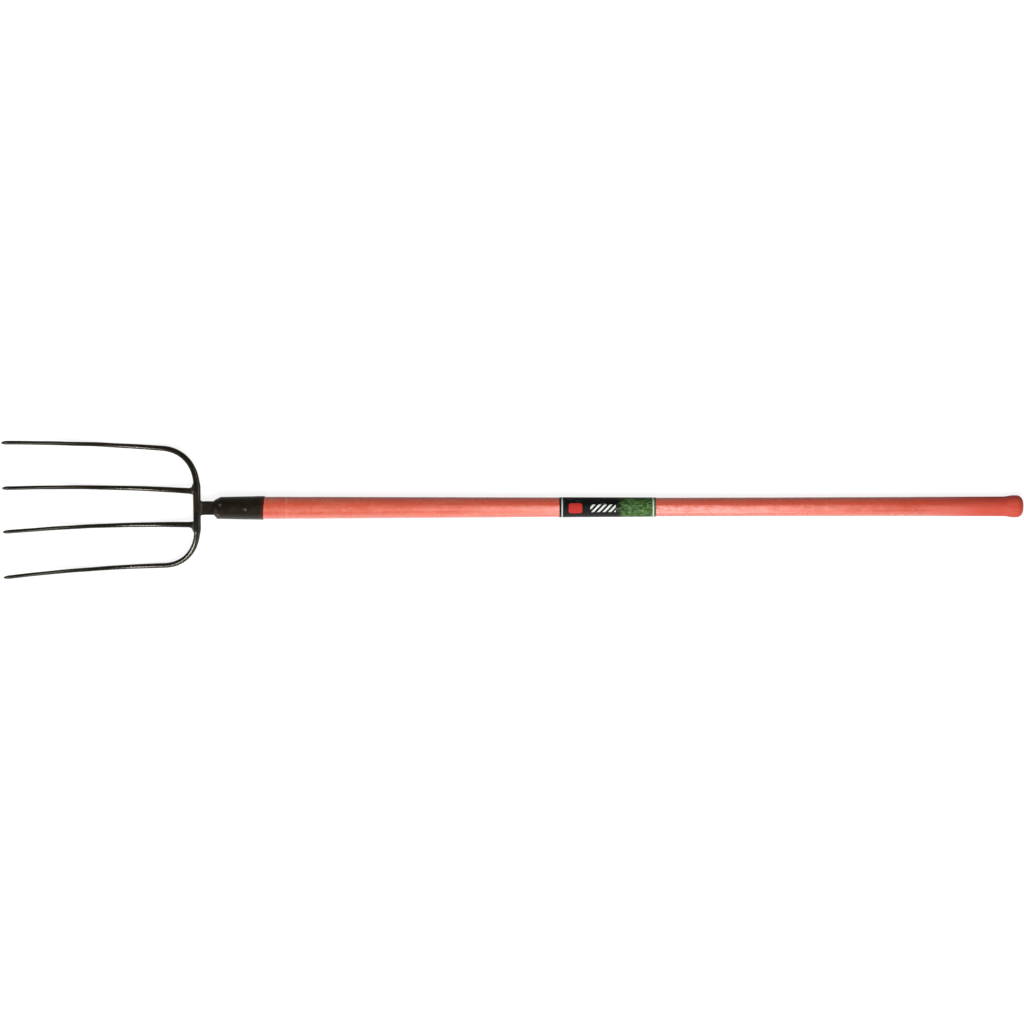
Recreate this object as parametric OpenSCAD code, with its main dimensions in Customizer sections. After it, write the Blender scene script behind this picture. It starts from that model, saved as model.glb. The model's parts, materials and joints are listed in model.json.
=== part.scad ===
// Four-tine manure fork lying on the ground: a forged steel head with its tang capped by a ferrule,
// and a long straight turned wood handle with a knob end.
// Millimetres, +X along the handle toward the knob, +Z up, the hollow of the tines facing up.

/* [Tines] */
// Plan length of the tines, from the crossbar's centre line to the tips
tine_reach = 317.5; // [280:0.5:350]
// Distance between the outer tines' centre lines at their tips
outer_tip_spread = 223.6; // [200:0.2:250]
// Distance between the outer tines' centre lines where they leave the bends
bend_spread = 195.6; // [180:0.2:215]
// Distance between the inner tines' centre lines at their tips
inner_tip_spread = 72.6; // [60:0.2:90]
// Distance between the inner tines' centre lines at the crossbar
root_spacing = 55.4; // [48:0.2:66]
// How far the bends run forward of the crossbar's centre line
bend_reach = 57; // [45:1:70]
// Straight part of the crossbar past each inner tine's centre line
crossbar_past = 7; // [6.5:0.5:12]
// Depth of the tines' lowest stretch below the crossbar
dish_depth = 24; // [20:1:40]
// Distance from the crossbar forward to the tines' lowest stretch
dish_len = 130; // [110:1:160]
// Width of the crossbar seen from above
crossbar_w = 12.7; // [11.5:0.1:15]
// Height of the crossbar
crossbar_h = 10.6; // [10:0.1:12]
// Length over which the bow narrows past the crossbar's straight part
narrow_len = 11; // [8:0.5:16]
// Width of the bow where its bends begin
bend_w = 10.6; // [9:0.1:11.5]
// Height of the bow where its bends begin
bend_h = 9.7; // [8.6:0.1:10.4]
// Width of the inner tines at the crossbar
root_w = 10; // [8:0.1:10.6]
// Height of the inner tines at the crossbar
root_h = 9.2; // [8:0.1:9.4]
// Width of every tine where its point begins
point_w = 6.3; // [4:0.1:7]
// Height of every tine where its point begins
point_h = 6.3; // [4.4:0.1:7]
// Length of the ground point on every tine
point_len = 9; // [6:0.5:16]

/* [Welds] */
// Length of the weld fillet along an inner tine, from the crossbar's face
root_weld_len = 8; // [6:0.5:12]
// Mean leg of the weld fillet along the crossbar's face beside an inner tine
root_weld_leg = 4; // [2.5:0.1:5]
// Length of the weld fillet along the neck, from the crossbar's face
neck_weld_len = 4; // [3:0.5:6]
// Leg of the weld fillet along the crossbar's face beside the neck
neck_weld_leg = 2.4; // [1.6:0.1:3.4]
// Rise of every weld above and below the bar that it joins
weld_rise = 0.7; // [0.5:0.1:0.9]
// Thickness that a weld runs out to at its toe
weld_toe = 0.35; // [0.25:0.05:0.5]

/* [Tang] */
// Width of the neck between the crossbar and the ferrule
neck_w = 22.4; // [18:0.2:22.6]
// Thickness of the neck
neck_t = 9; // [8.6:0.1:9.4]
// Chamfer along the neck's edges
neck_chamfer = 1.4; // [0.8:0.1:2]
// Open length of the neck between the crossbar and the ferrule's cap
neck_len = 21.6; // [16:0.2:30]
// Diameter of the tang where it leaves the neck
tang_root_d = 8.6; // [8:0.1:8.6]
// Diameter of the tang's end
tang_tip_d = 6; // [5.6:0.1:7]
// Length of the tang inside the handle
tang_len = 104; // [70:1:130]

/* [Ferrule] */
// Length of the ferrule, cap included
ferrule_len = 83; // [70:1:100]
// Length of the ferrule's conical cap
cap_len = 8.4; // [6:0.2:12]
// Outside diameter of the ferrule at its mouth
mouth_d = 39.4; // [38.8:0.1:40.4]
// Outside diameter of the ferrule where the cap begins
shoulder_d = 36.8; // [35:0.1:38]
// Diameter of the cap's flat end
cap_end_d = 25; // [24.4:0.1:27]
// Wall of the ferrule
ferrule_wall = 1.2; // [1:0.1:1.6]
// Thickness of the cap's flat end
cap_end_t = 2; // [1.5:0.1:3]

/* [Rivet] */
// Distance of the rivet from the ferrule's mouth
rivet_setback = 30; // [20:1:45]
// Diameter of the rivet's shank
rivet_d = 3.6; // [3:0.1:4]
// Diameter of the rivet's heads
rivet_head_d = 7.4; // [6.4:0.1:8]
// Height of each rivet head above its seat
rivet_head_h = 1.6; // [1.2:0.1:2.2]
// Depth of the flat seat under each head, below the ferrule's crown
rivet_seat_depth = 0.5; // [0.4:0.05:0.6]
// Ring of seat that shows around each head
rivet_seat_rim = 0.5; // [0.3:0.1:0.8]

/* [Handle] */
// Length of the handle outside the ferrule
handle_out = 1255; // [1150:1:1400]
// Diameter of the handle's straight grip
grip_d = 31.2; // [30:0.1:32]
// Distance from the ferrule's mouth to the straight grip
grip_start = 658; // [650:1:700]
// Length of the straight grip
grip_len = 190; // [150:1:230]
// Diameter of the handle just before the knob
wrist_d = 32.4; // [31:0.1:33.6]
// Length of the flare from the wrist out to the knob
flare_len = 17; // [12:1:26]
// Diameter of the knob
knob_d = 36.5; // [35:0.1:38]
// Length of the knob's straight land
knob_land = 5; // [4:0.5:10]
// Radius that the knob's end is rounded to
knob_round = 10.5; // [8:0.5:13]

/* [Label] */
// Distance from the ferrule's mouth to the label
label_start = 488; // [470:1:500]
// Length of the label along the handle
label_len = 159.5; // [140:0.5:160]
// Thickness of the label
label_t = 0.25; // [0.2:0.05:0.4]
// Thickness of the glue between the label and the wood
glue_t = 0.15; // [0.12:0.01:0.2]

/* [Fit] */
// Gap left between pieces that are driven or riveted together
seat_gap = 0.05; // [0.02:0.01:0.1]

/* [Hidden] */
$fn = 64;
black_steel = "#2b2823";
red_wood = "#c65a45";
label_print = "#1b2417";

// Overrun of cuts past the faces that they open
overrun = 1;
// Corners around the tines' section
section_sides = 16;
// Exponents that square the tines' oval section a little and the neck weld's nearly full
section_power = 0.82;
neck_weld_power = 0.25;
// Exponent of the taper from the bends or the roots to the points
tine_taper = 2;
// Handles of the bend's curve, as shares of its two legs
bend_shares = [0.585, 0.585];
// Section left at the very tip, and the shares of the point's length where its rings lie
tip_share = 0.35;
point_shares = [0, 0.35, 0.7, 1];
point_power = 2.2;
// Rings along one half of the crossbar, one bend, one straight tine, one root weld
crossbar_steps = 3;
bend_steps = 20;
tine_steps = 18;
weld_steps = 6;
// Rings of a bar kept past a weld when it cuts that weld
middle_steps = 4;
// Outward shift of the root welds as a share of their leg
weld_shift_share = 0.75;
// Depth inside the crossbar where the welds begin, as a share of its half width
weld_start_share = 0.6;
// Rings in the knob's flare and in its rounded end
flare_steps = 8;
round_steps = 8;

// The head's place along the handle's axis, measured from the ferrule's mouth
crossbar_x = -ferrule_len - neck_len - crossbar_w / 2;
tip_x = crossbar_x - tine_reach;
crossbar_half = root_spacing / 2 + crossbar_past;

// Ferrule and handle radii
mouth_r = mouth_d / 2;
shoulder_r = shoulder_d / 2;
cone_len = ferrule_len - cap_len;
rivet_crown_r = mouth_r - (mouth_r - shoulder_r) * rivet_setback / cone_len;
rivet_seat_r = rivet_crown_r - rivet_seat_depth;
spigot_mouth_r = mouth_r - ferrule_wall - seat_gap;
spigot_end_r = shoulder_r - ferrule_wall - seat_gap;
grip_r = grip_d / 2;
wrist_r = wrist_d / 2;
knob_r = knob_d / 2;
grip_end = grip_start + grip_len;
land_end = handle_out - knob_round;
land_start = land_end - knob_land;
flare_start = land_start - flare_len;
tang_start = -ferrule_len + cap_end_t;
tang_end = -cone_len + tang_len;

// Height of the head's dished sheet at a distance u forward of the crossbar
function dish(u) = dish_depth * (pow((u - dish_len) / dish_len, 2) - 1);

// A plan point, given as distance forward of the crossbar and distance from the middle, on the dish
function on_dish(p) = [crossbar_x - p[0], p[1], dish(p[0])];

// Radius of the handle where it tapers from the ferrule's mouth to the grip
function taper_r(x) = spigot_mouth_r + (grip_r - spigot_mouth_r) * x / grip_start;

// Radius of the tang at a place along the axis
function tang_r(x) =
    (tang_root_d + (tang_tip_d - tang_root_d) * (x - tang_start) / (tang_end - tang_start)) / 2;

// A share from 0 to 1 that starts and ends gently
function eased(t) = t * t * (3 - 2 * t);

// A point of a cubic curve
function cubic(a, b, c, d, t) =
    a * pow(1 - t, 3) + b * 3 * t * pow(1 - t, 2) + c * 3 * t * t * (1 - t) + d * pow(t, 3);

// Running length along a list of points
function step_len(points, i) = i < 1 || i >= len(points) ? 0 : norm(points[i] - points[i - 1]);
function runs(points) = [for (i = 0, s = 0; i < len(points); i = i + 1, s = s + step_len(points, i)) s];

// Whole length of a list of points
function plan_length(points) = runs(points)[len(points) - 1];

// Shrink of the section over the ground point, at a distance s along a tine of length all
function point_share(s, all) =
    s <= all - point_len ? 1 : 1 - (1 - tip_share) * pow((s - all + point_len) / point_len, point_power);

// Places along a straight run from its start to the tip, the point's rings last
function tine_places(all) = concat(
    [for (i = [0 : tine_steps - 1]) (all - point_len) * i / tine_steps],
    [for (t = point_shares) all - point_len + point_len * t]
);

// Plan of half the bow, from the middle of the crossbar to an outer tip
bend_from = [0, crossbar_half];
bend_to = [bend_reach, bend_spread / 2];
outer_tip = [tine_reach, outer_tip_spread / 2];
outer_way = (outer_tip - bend_to) / norm(outer_tip - bend_to);
bend_leg = bend_to[1] - bend_from[1];
bow_half_plan = concat(
    [for (i = [0 : crossbar_steps - 1]) bend_from * i / crossbar_steps],
    [for (i = [0 : bend_steps - 1]) cubic(bend_from, bend_from + [0, bend_leg * bend_shares[0]],
        bend_to - outer_way * bend_reach * bend_shares[1], bend_to, i / bend_steps)],
    [for (s = tine_places(norm(outer_tip - bend_to))) bend_to + outer_way * s]
);
bow_half_runs = runs(bow_half_plan);
bow_half_all = plan_length(bow_half_plan);

// Width and height of the bow at a distance s from the middle of the crossbar: the crossbar's own section,
// a short fall to the bends', then the long taper to the points'
function bow_past(s) = max(0, s - crossbar_half);
function bow_swell(s) = 1 - eased(min(1, bow_past(s) / narrow_len));
function bow_fall(s) = pow(1 - bow_past(s) / (bow_half_all - crossbar_half), tine_taper);
function bow_size(s, bar, bend, point) =
    (point + (bend - point) * bow_fall(s) + (bar - bend) * bow_swell(s)) * point_share(s, bow_half_all);
function bow_width(s) = bow_size(s, crossbar_w, bend_w, point_w);
function bow_height(s) = bow_size(s, crossbar_h, bend_h, point_h);

// The whole bow: one half turned back to front, then the other
bow_last = len(bow_half_plan) - 1;
bow_order = [for (i = [-bow_last : bow_last]) i];
bow_path = [for (i = bow_order) on_dish([bow_half_plan[abs(i)][0], sign(i) * bow_half_plan[abs(i)][1]])];
bow_half_w = [for (i = bow_order) bow_width(bow_half_runs[abs(i)]) / 2];
bow_half_h = [for (i = bow_order) bow_height(bow_half_runs[abs(i)]) / 2];

// An inner tine on the +Y side
inner_places = tine_places(tine_reach);
inner_slope = (inner_tip_spread - root_spacing) / 2 / tine_reach;
function inner_plan(u) = [u, root_spacing / 2 + inner_slope * u];
function inner_fall(u) = pow(1 - u / tine_reach, tine_taper);
function inner_width(u) = (point_w + (root_w - point_w) * inner_fall(u)) * point_share(u, tine_reach);
function inner_height(u) = (point_h + (root_h - point_h) * inner_fall(u)) * point_share(u, tine_reach);

// The lying attitude: the tines' lowest stretch and the knob's land both touch the ground
bow_lows = [for (i = [0 : len(bow_path) - 1]) bow_path[i][2] - bow_half_h[i]];
inner_lows = [for (u = inner_places) dish(u) - inner_height(u) / 2];
belly_drop = -min(concat(bow_lows, inner_lows));
lie_angle = atan2(belly_drop - knob_r, land_end - crossbar_x + dish_len);
lie_lift = land_end * sin(lie_angle) + knob_r * cos(lie_angle);
middle_x = (tip_x + handle_out) * cos(lie_angle) / 2;

// Rings of a weld: from inside the crossbar to its face, then on to the toe, closest at the face
function weld_places(all) = concat(
    [crossbar_w / 2 * weld_start_share],
    [for (i = [0 : weld_steps]) crossbar_w / 2 + all * (1 - cos(90 * i / weld_steps))]
);

// A weld fillet's round hollow from its full leg at the crossbar's face to nothing at its toe
function weld_left(u, all) = 1 - max(0, u - crossbar_w / 2) / all;
function weld_fall(u, all) = 1 - sqrt(max(0, 1 - pow(weld_left(u, all), 2)));
function swell(leg, fall) = weld_toe + (leg - weld_toe) * fall;

// One ring of an oval section across a path
function squared(v, power) = sign(v) * pow(abs(v), power);
function oval(a, power) = [squared(cos(a), power), squared(sin(a), power)];
function oval_points(power) = [for (k = [0 : section_sides - 1]) oval(360 * k / section_sides, power)];
function ring(centre, way, half_w, half_h, power) =
    let (across = cross([0, 0, 1], way) / norm(cross([0, 0, 1], way)), above = cross(way, across))
    [for (p = oval_points(power)) centre + across * half_w * p[0] + above * half_h * p[1]];
function way_at(path, i) =
    let (v = path[min(i + 1, len(path) - 1)] - path[max(i - 1, 0)]) v / norm(v);

// A bar of oval section along a path, its ends flat and its rings square to the path or to a spine beside it
module bar(path, half_w, half_h, power = section_power, spine = undef) {
    last = len(path) - 1;
    n = section_sides;
    line = is_undef(spine) ? path : spine;
    points = [for (i = [0 : last]) each ring(path[i], way_at(line, i), half_w[i], half_h[i], power)];
    sides = [for (i = [0 : last - 1], k = [0 : n - 1]) each [
        [i * n + k, (i + 1) * n + k, (i + 1) * n + (k + 1) % n],
        [i * n + k, (i + 1) * n + (k + 1) % n, i * n + (k + 1) % n]
    ]];
    start = [for (k = [0 : n - 1]) k];
    end = [for (k = [n - 1 : -1 : 0]) last * n + k];
    polyhedron(points = points, faces = concat([start], sides, [end]));
}

// Lays the fork, built along the handle's axis, on the ground
module laid() {
    translate([-middle_x, 0, lie_lift])
        rotate([0, lie_angle, 0])
            children();
}

// Turns a profile of radius and place around the handle's axis
module turned(profile) {
    rotate([0, 90, 0])
        rotate_extrude()
            polygon(profile);
}

// The straight stretch of the crossbar, as a cutter for the bars that are coped to it
module crossbar_stretch() {
    translate([crossbar_x, 0, 0])
        rotate([90, 0, 0])
            linear_extrude(height = 2 * crossbar_half, center = true)
                polygon([for (p = oval_points(section_power))
                    [p[0] * crossbar_w / 2, p[1] * crossbar_h / 2]]);
}

// The bow's middle rings, crossbar and the start of both bends
module bow_middle() {
    near = [for (i = [0 : 2 * bow_last]) if (abs(i - bow_last) <= crossbar_steps + middle_steps) i];
    bar([for (i = near) bow_path[i]], [for (i = near) bow_half_w[i]], [for (i = near) bow_half_h[i]]);
}

// An inner tine's bar, whole or only its first rings
module inner_bar(places) {
    bar([for (u = places) on_dish(inner_plan(u))], [for (u = places) inner_width(u) / 2],
        [for (u = places) inner_height(u) / 2]);
}

module inner_tine() {
    difference() {
        inner_bar(inner_places);
        crossbar_stretch();
    }
}

module root_weld() {
    places = weld_places(root_weld_len);
    falls = [for (u = places) weld_fall(u, root_weld_len)];
    shift = root_weld_leg * weld_shift_share;
    rings = [0 : len(places) - 1];
    spine = [for (u = places) on_dish(inner_plan(u))];
    difference() {
        bar([for (i = rings) spine[i] + [0, shift * falls[i], 0]],
            [for (i = rings) inner_width(places[i]) / 2 + swell(root_weld_leg, falls[i])],
            [for (i = rings) inner_height(places[i]) / 2 + swell(weld_rise, falls[i])], section_power, spine);
        inner_bar([for (i = [0 : middle_steps]) inner_places[i]]);
        bow_middle();
    }
}

// The neck's section, drawn out from a place along the axis, grown by a gap all round
module neck_bar(from, to, gap) {
    w = neck_w / 2 + gap;
    t = neck_t / 2 + gap;
    flat_w = w - neck_chamfer;
    flat_t = t - neck_chamfer;
    translate([from, 0, 0])
        rotate([90, 0, 90])
            linear_extrude(height = to - from)
                polygon([
                    [w, -flat_t], [w, flat_t], [flat_w, t], [-flat_w, t],
                    [-w, flat_t], [-w, -flat_t], [-flat_w, -t], [flat_w, -t]
                ]);
}

// A cross hole for the rivet
module rivet_hole() {
    translate([-rivet_setback, 0, 0])
        cylinder(r = rivet_d / 2 + seat_gap, h = mouth_d + overrun, center = true);
}

module tine_bow() {
    color(black_steel)
        laid()
            bar(bow_path, bow_half_w, bow_half_h);
}

module inner_tine_left() {
    color(black_steel)
        laid()
            inner_tine();
}

module inner_tine_right() {
    color(black_steel)
        laid()
            mirror([0, 1, 0])
                inner_tine();
}

module tine_welds() {
    color(black_steel)
        laid() {
            root_weld();
            mirror([0, 1, 0])
                root_weld();
        }
}

module tang() {
    sunk = tang_start - overrun;
    color(black_steel)
        laid()
            difference() {
                union() {
                    neck_bar(crossbar_x, tang_start, 0);
                    translate([sunk, 0, 0])
                        rotate([0, 90, 0])
                            cylinder(r1 = tang_r(sunk), r2 = tang_r(tang_end), h = tang_end - sunk);
                }
                crossbar_stretch();
                rivet_hole();
            }
}

module neck_weld() {
    places = weld_places(neck_weld_len);
    falls = [for (u = places) weld_fall(u, neck_weld_len)];
    color(black_steel)
        laid()
            difference() {
                bar([for (u = places) [crossbar_x + u, 0, 0]],
                    [for (fall = falls) neck_w / 2 + swell(neck_weld_leg, fall)],
                    [for (fall = falls) neck_t / 2 + swell(weld_rise, fall)], neck_weld_power);
                neck_bar(crossbar_x, crossbar_x + crossbar_w / 2 + neck_weld_len + overrun, 0);
                crossbar_stretch();
            }
}

module ferrule() {
    color(black_steel)
        laid()
            difference() {
                turned([
                    [0, -ferrule_len], [cap_end_d / 2, -ferrule_len], [shoulder_r, -cone_len], [mouth_r, 0],
                    [mouth_r - ferrule_wall, 0], [shoulder_r - ferrule_wall, -cone_len],
                    [cap_end_d / 2, cap_end_t - ferrule_len], [0, cap_end_t - ferrule_len]
                ]);
                neck_bar(-ferrule_len - overrun, cap_end_t - ferrule_len + overrun, seat_gap);
                rivet_hole();
                for (side = [0, 1])
                    mirror([0, 0, side])
                        translate([-rivet_setback, 0, rivet_seat_r])
                            cylinder(d = rivet_head_d + 2 * rivet_seat_rim, h = rivet_seat_depth + overrun);
            }
}

module ferrule_rivet() {
    bulge = (pow(rivet_head_d / 2, 2) + pow(rivet_head_h, 2)) / (2 * rivet_head_h);
    sweep = asin(rivet_head_d / 2 / bulge);
    color(black_steel)
        laid()
            translate([-rivet_setback, 0, 0])
                rotate_extrude()
                    polygon(concat(
                        [for (i = [0 : round_steps]) let (a = sweep * i / round_steps)
                            [bulge * sin(a), rivet_seat_r + rivet_head_h - bulge * (1 - cos(a))]],
                        [[rivet_d / 2, rivet_seat_r], [rivet_d / 2, -rivet_seat_r]],
                        [for (i = [round_steps : -1 : 0]) let (a = sweep * i / round_steps)
                            [bulge * sin(a), bulge * (1 - cos(a)) - rivet_seat_r - rivet_head_h]]
                    ));
}

module handle() {
    color(red_wood)
        laid()
            difference() {
                turned(concat(
                    [[0, tang_end], [tang_r(tang_end) + seat_gap, tang_end],
                        [tang_r(-cone_len) + seat_gap, -cone_len], [spigot_end_r, -cone_len],
                        [spigot_mouth_r, 0], [grip_r, grip_start], [grip_r, grip_end]],
                    [for (i = [0 : flare_steps - 1]) let (t = i / flare_steps)
                        [wrist_r + (knob_r - wrist_r) * eased(t), flare_start + flare_len * t]],
                    [[knob_r, land_start]],
                    [for (i = [0 : round_steps]) let (a = 90 * i / round_steps)
                        [knob_r - knob_round * (1 - cos(a)), land_end + knob_round * sin(a)]],
                    [[0, handle_out]]
                ));
                rivet_hole();
            }
}

module label() {
    label_end = label_start + label_len;
    start_r = taper_r(label_start) + glue_t;
    end_r = taper_r(label_end) + glue_t;
    color(label_print)
        laid()
            turned([
                [start_r, label_start], [start_r + label_t, label_start],
                [end_r + label_t, label_end], [end_r, label_end]
            ]);
}

tine_bow();
inner_tine_left();
inner_tine_right();
tine_welds();
tang();
neck_weld();
ferrule();
ferrule_rivet();
handle();
label();
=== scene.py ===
"""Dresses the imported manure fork: black lacquered forgings with their welds, a riveted ferrule,
a red lacquered turned handle with its label, and a plain pale stage."""

import json
import math

import bpy
import numpy as np
from bpy.props import FloatProperty, FloatVectorProperty, PointerProperty
from bpy.types import NodeSocket, Operator, Panel, PropertyGroup
from mathutils import Matrix, Vector


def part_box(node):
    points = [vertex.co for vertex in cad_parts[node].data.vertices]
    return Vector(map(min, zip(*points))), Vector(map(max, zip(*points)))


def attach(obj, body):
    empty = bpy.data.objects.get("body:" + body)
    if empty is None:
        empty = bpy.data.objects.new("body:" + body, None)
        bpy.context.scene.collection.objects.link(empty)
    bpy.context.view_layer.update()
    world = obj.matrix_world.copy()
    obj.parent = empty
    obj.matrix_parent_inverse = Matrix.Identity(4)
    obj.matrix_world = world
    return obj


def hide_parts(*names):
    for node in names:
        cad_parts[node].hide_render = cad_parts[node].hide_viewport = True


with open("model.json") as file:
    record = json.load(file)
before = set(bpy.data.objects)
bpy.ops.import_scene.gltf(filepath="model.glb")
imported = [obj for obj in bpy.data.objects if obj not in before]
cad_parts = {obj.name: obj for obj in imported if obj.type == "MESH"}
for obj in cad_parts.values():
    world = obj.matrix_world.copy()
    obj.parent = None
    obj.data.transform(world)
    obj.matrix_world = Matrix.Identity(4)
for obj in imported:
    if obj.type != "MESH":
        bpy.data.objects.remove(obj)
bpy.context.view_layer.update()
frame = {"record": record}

bl_info = {
    "name": "Manure fork",
    "version": (1, 0, 0),
    "blender": (4, 5, 0),
    "location": "3D View > Sidebar > Fork",
    "description": "Builds a lacquered manure fork around its packed frame",
    "category": "Object",
}

MM = 0.001
TURN = 2 * math.pi

# The fork's own axes: along the handle toward the knob, across it, and above it
MOUNTS = {mount["name"]: mount for mount in frame["record"]["mounts"]}
ALONG = np.array(MOUNTS["knob_end"]["axis"])
ACROSS = np.array([0.0, 1.0, 0.0])
ABOVE = np.cross(ALONG, ACROSS)

# The ferrule's mouth is the zero of every place along the handle
FERRULE_HIGH = np.array(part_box("ferrule")[1])
MOUTH_R = float(FERRULE_HIGH[1])
CROSSBAR = np.array(MOUNTS["crossbar_rest"]["pos_m"])
MOUTH = CROSSBAR + ALONG * (FERRULE_HIGH[0] - MOUTH_R * ABOVE[0] - CROSSBAR[0]) / ALONG[0]
CROSSBAR_AT = float((CROSSBAR - MOUTH) @ ALONG)
HANDLE_OUT = float((np.array(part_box("handle")[1]) - MOUTH)[0] / ALONG[0])


def length(label, text, millimetres):
    """A length kept in metres, written in millimetres."""
    return FloatProperty(name=label, description=text, default=millimetres * MM, unit="LENGTH", precision=5)


def share(label, text, value):
    """A plain number without a unit."""
    return FloatProperty(name=label, description=text, default=value, precision=3)


def tint(label, text, value):
    """A colour in linear red, green and blue."""
    return FloatVectorProperty(name=label, description=text, default=value, subtype="COLOR", size=3,
                               min=0.0, max=1.0)


def spot(label, text, place):
    """A point in metres."""
    return FloatVectorProperty(name=label, description=text, default=place, subtype="TRANSLATION")


def lean(label, text, value):
    """An angle in radians."""
    return FloatProperty(name=label, description=text, default=value, subtype="ANGLE")


def watts(label, text, value):
    """The power of a light."""
    return FloatProperty(name=label, description=text, default=value, unit="POWER")


class ForkHeadSizes(PropertyGroup):
    """Sizes of the forged head."""

    tine_reach: length("Tine reach", "Plan length of the tines from the crossbar to the tips", 317.5)
    outer_spread: length("Outer tip spread", "Distance between the outer tips", 223.6)
    bend_spread: length("Bend spread", "Distance between the outer tines where they leave the bends", 195.6)
    inner_spread: length("Inner tip spread", "Distance between the inner tips", 72.6)
    root_spacing: length("Root spacing", "Distance between the inner tines at the crossbar", 55.4)
    bend_reach: length("Bend reach", "How far the bends run forward of the crossbar", 57)
    crossbar_past: length("Crossbar past roots", "Straight crossbar past each inner tine", 7)
    dish_depth: length("Dish depth", "Depth of the tines' lowest stretch below the crossbar", 24)
    dish_len: length("Dish length", "Distance from the crossbar to the lowest stretch", 130)
    crossbar_w: length("Crossbar width", "Width of the crossbar from above", 12.7)
    crossbar_h: length("Crossbar height", "Height of the crossbar", 10.6)
    narrow_len: length("Narrowing", "Length over which the bow narrows past the straight crossbar", 11)
    bend_w: length("Bend width", "Width of the bow where its bends begin", 10.6)
    bend_h: length("Bend height", "Height of the bow where its bends begin", 9.7)
    root_w: length("Root width", "Width of the inner tines at the crossbar", 10)
    root_h: length("Root height", "Height of the inner tines at the crossbar", 9.2)
    point_w: length("Point width", "Width of a tine where its point begins", 6.3)
    point_h: length("Point height", "Height of a tine where its point begins", 6.3)
    point_len: length("Point length", "Length of the ground point", 9)
    tine_taper: share("Tine taper", "Exponent of the taper from the bends or the roots to the points", 2.0)
    bend_share: share("Bend handle", "Handle of the bend's curve as a share of its legs", 0.585)
    bar_flat: share("Crossbar flatness", "Exponent of the crossbar's oval, lower is flatter", 0.62)
    tine_round: share("Tine roundness", "Exponent of the tines' oval, one is a true oval", 0.9)
    unevenness: share("Forging unevenness", "Swell of the bars as a share of their section", 0.02)
    stray: length("Tine stray", "How far a tine wanders from its line", 0.35)
    tip_rub: share("Tip rub", "Share of bare steel at the very tips", 0.2)
    root_weld_len: length("Root weld length", "Weld along an inner tine from the crossbar's face", 8)
    root_weld_leg: length("Root weld leg", "Weld along the crossbar beside an inner tine", 4)
    neck_weld_len: length("Neck weld length", "Weld along the neck from the crossbar's face", 4)
    neck_weld_leg: length("Neck weld leg", "Weld along the crossbar beside the neck", 2.4)
    weld_rise: length("Weld rise", "Rise of a weld above the bar that it joins", 0.7)
    weld_ripple: length("Weld ripple", "Height of the ripples on a weld", 0.06)
    neck_w: length("Neck width", "Width of the flat neck", 22.4)
    neck_t: length("Neck thickness", "Thickness of the flat neck", 9)
    neck_step: length("Neck step", "Length over which the neck turns into the tang", 2)
    tang_root_d: length("Tang root diameter", "Diameter of the tang at the neck", 8.6)
    tang_tip_d: length("Tang tip diameter", "Diameter of the tang's end", 6)
    tang_len: length("Tang length", "Length of the tang inside the handle", 104)
    hammer_size: length("Hammer mark size", "Size of the hammer marks on the neck", 2.4)
    hammer_depth: length("Hammer mark depth", "Depth of the hammer marks on the neck", 0.35)


class FerruleSizes(PropertyGroup):
    """Sizes of the ferrule and its rivet."""

    ferrule_len: length("Ferrule length", "Length of the ferrule, cap included", 83)
    cap_len: length("Cap length", "Length of the conical cap", 8.4)
    shoulder_d: length("Shoulder diameter", "Diameter where the cap begins", 36.8)
    cap_end_d: length("Cap end diameter", "Diameter of the cap's flat end", 25)
    wall: length("Wall", "Thickness of the ferrule's wall", 1.2)
    cap_end_t: length("Cap end thickness", "Thickness of the cap's flat end", 2)
    hole_r: length("Cap hole radius", "Radius of the hole in the cap's flat end", 4)
    slant: share("Cap slant", "How far the cap's shoulder runs along for each step across", 0.15)
    peen_r: length("Peen radius", "Radius of the peen marks on the shoulder", 1.8)
    peen_rise: length("Peen rise", "Height of the peen marks", 0.8)
    seam_w: length("Seam width", "Half width of the welded seam underneath", 1.1)
    seam_rise: length("Seam rise", "Height of the welded seam underneath", 0.22)
    rivet_setback: length("Rivet setback", "Distance of the rivet from the mouth", 30)
    rivet_d: length("Rivet diameter", "Diameter of the rivet's shank", 3.6)
    rivet_head_d: length("Rivet head diameter", "Diameter of the rivet's heads", 7.4)
    rivet_head_h: length("Rivet head height", "Height of each head above its seat", 1.6)
    seat_depth: length("Rivet seat depth", "Depth of the seat below the ferrule's crown", 0.5)
    seat_rim: length("Rivet seat rim", "Width over which the seat rises to the ferrule", 1.6)


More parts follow.
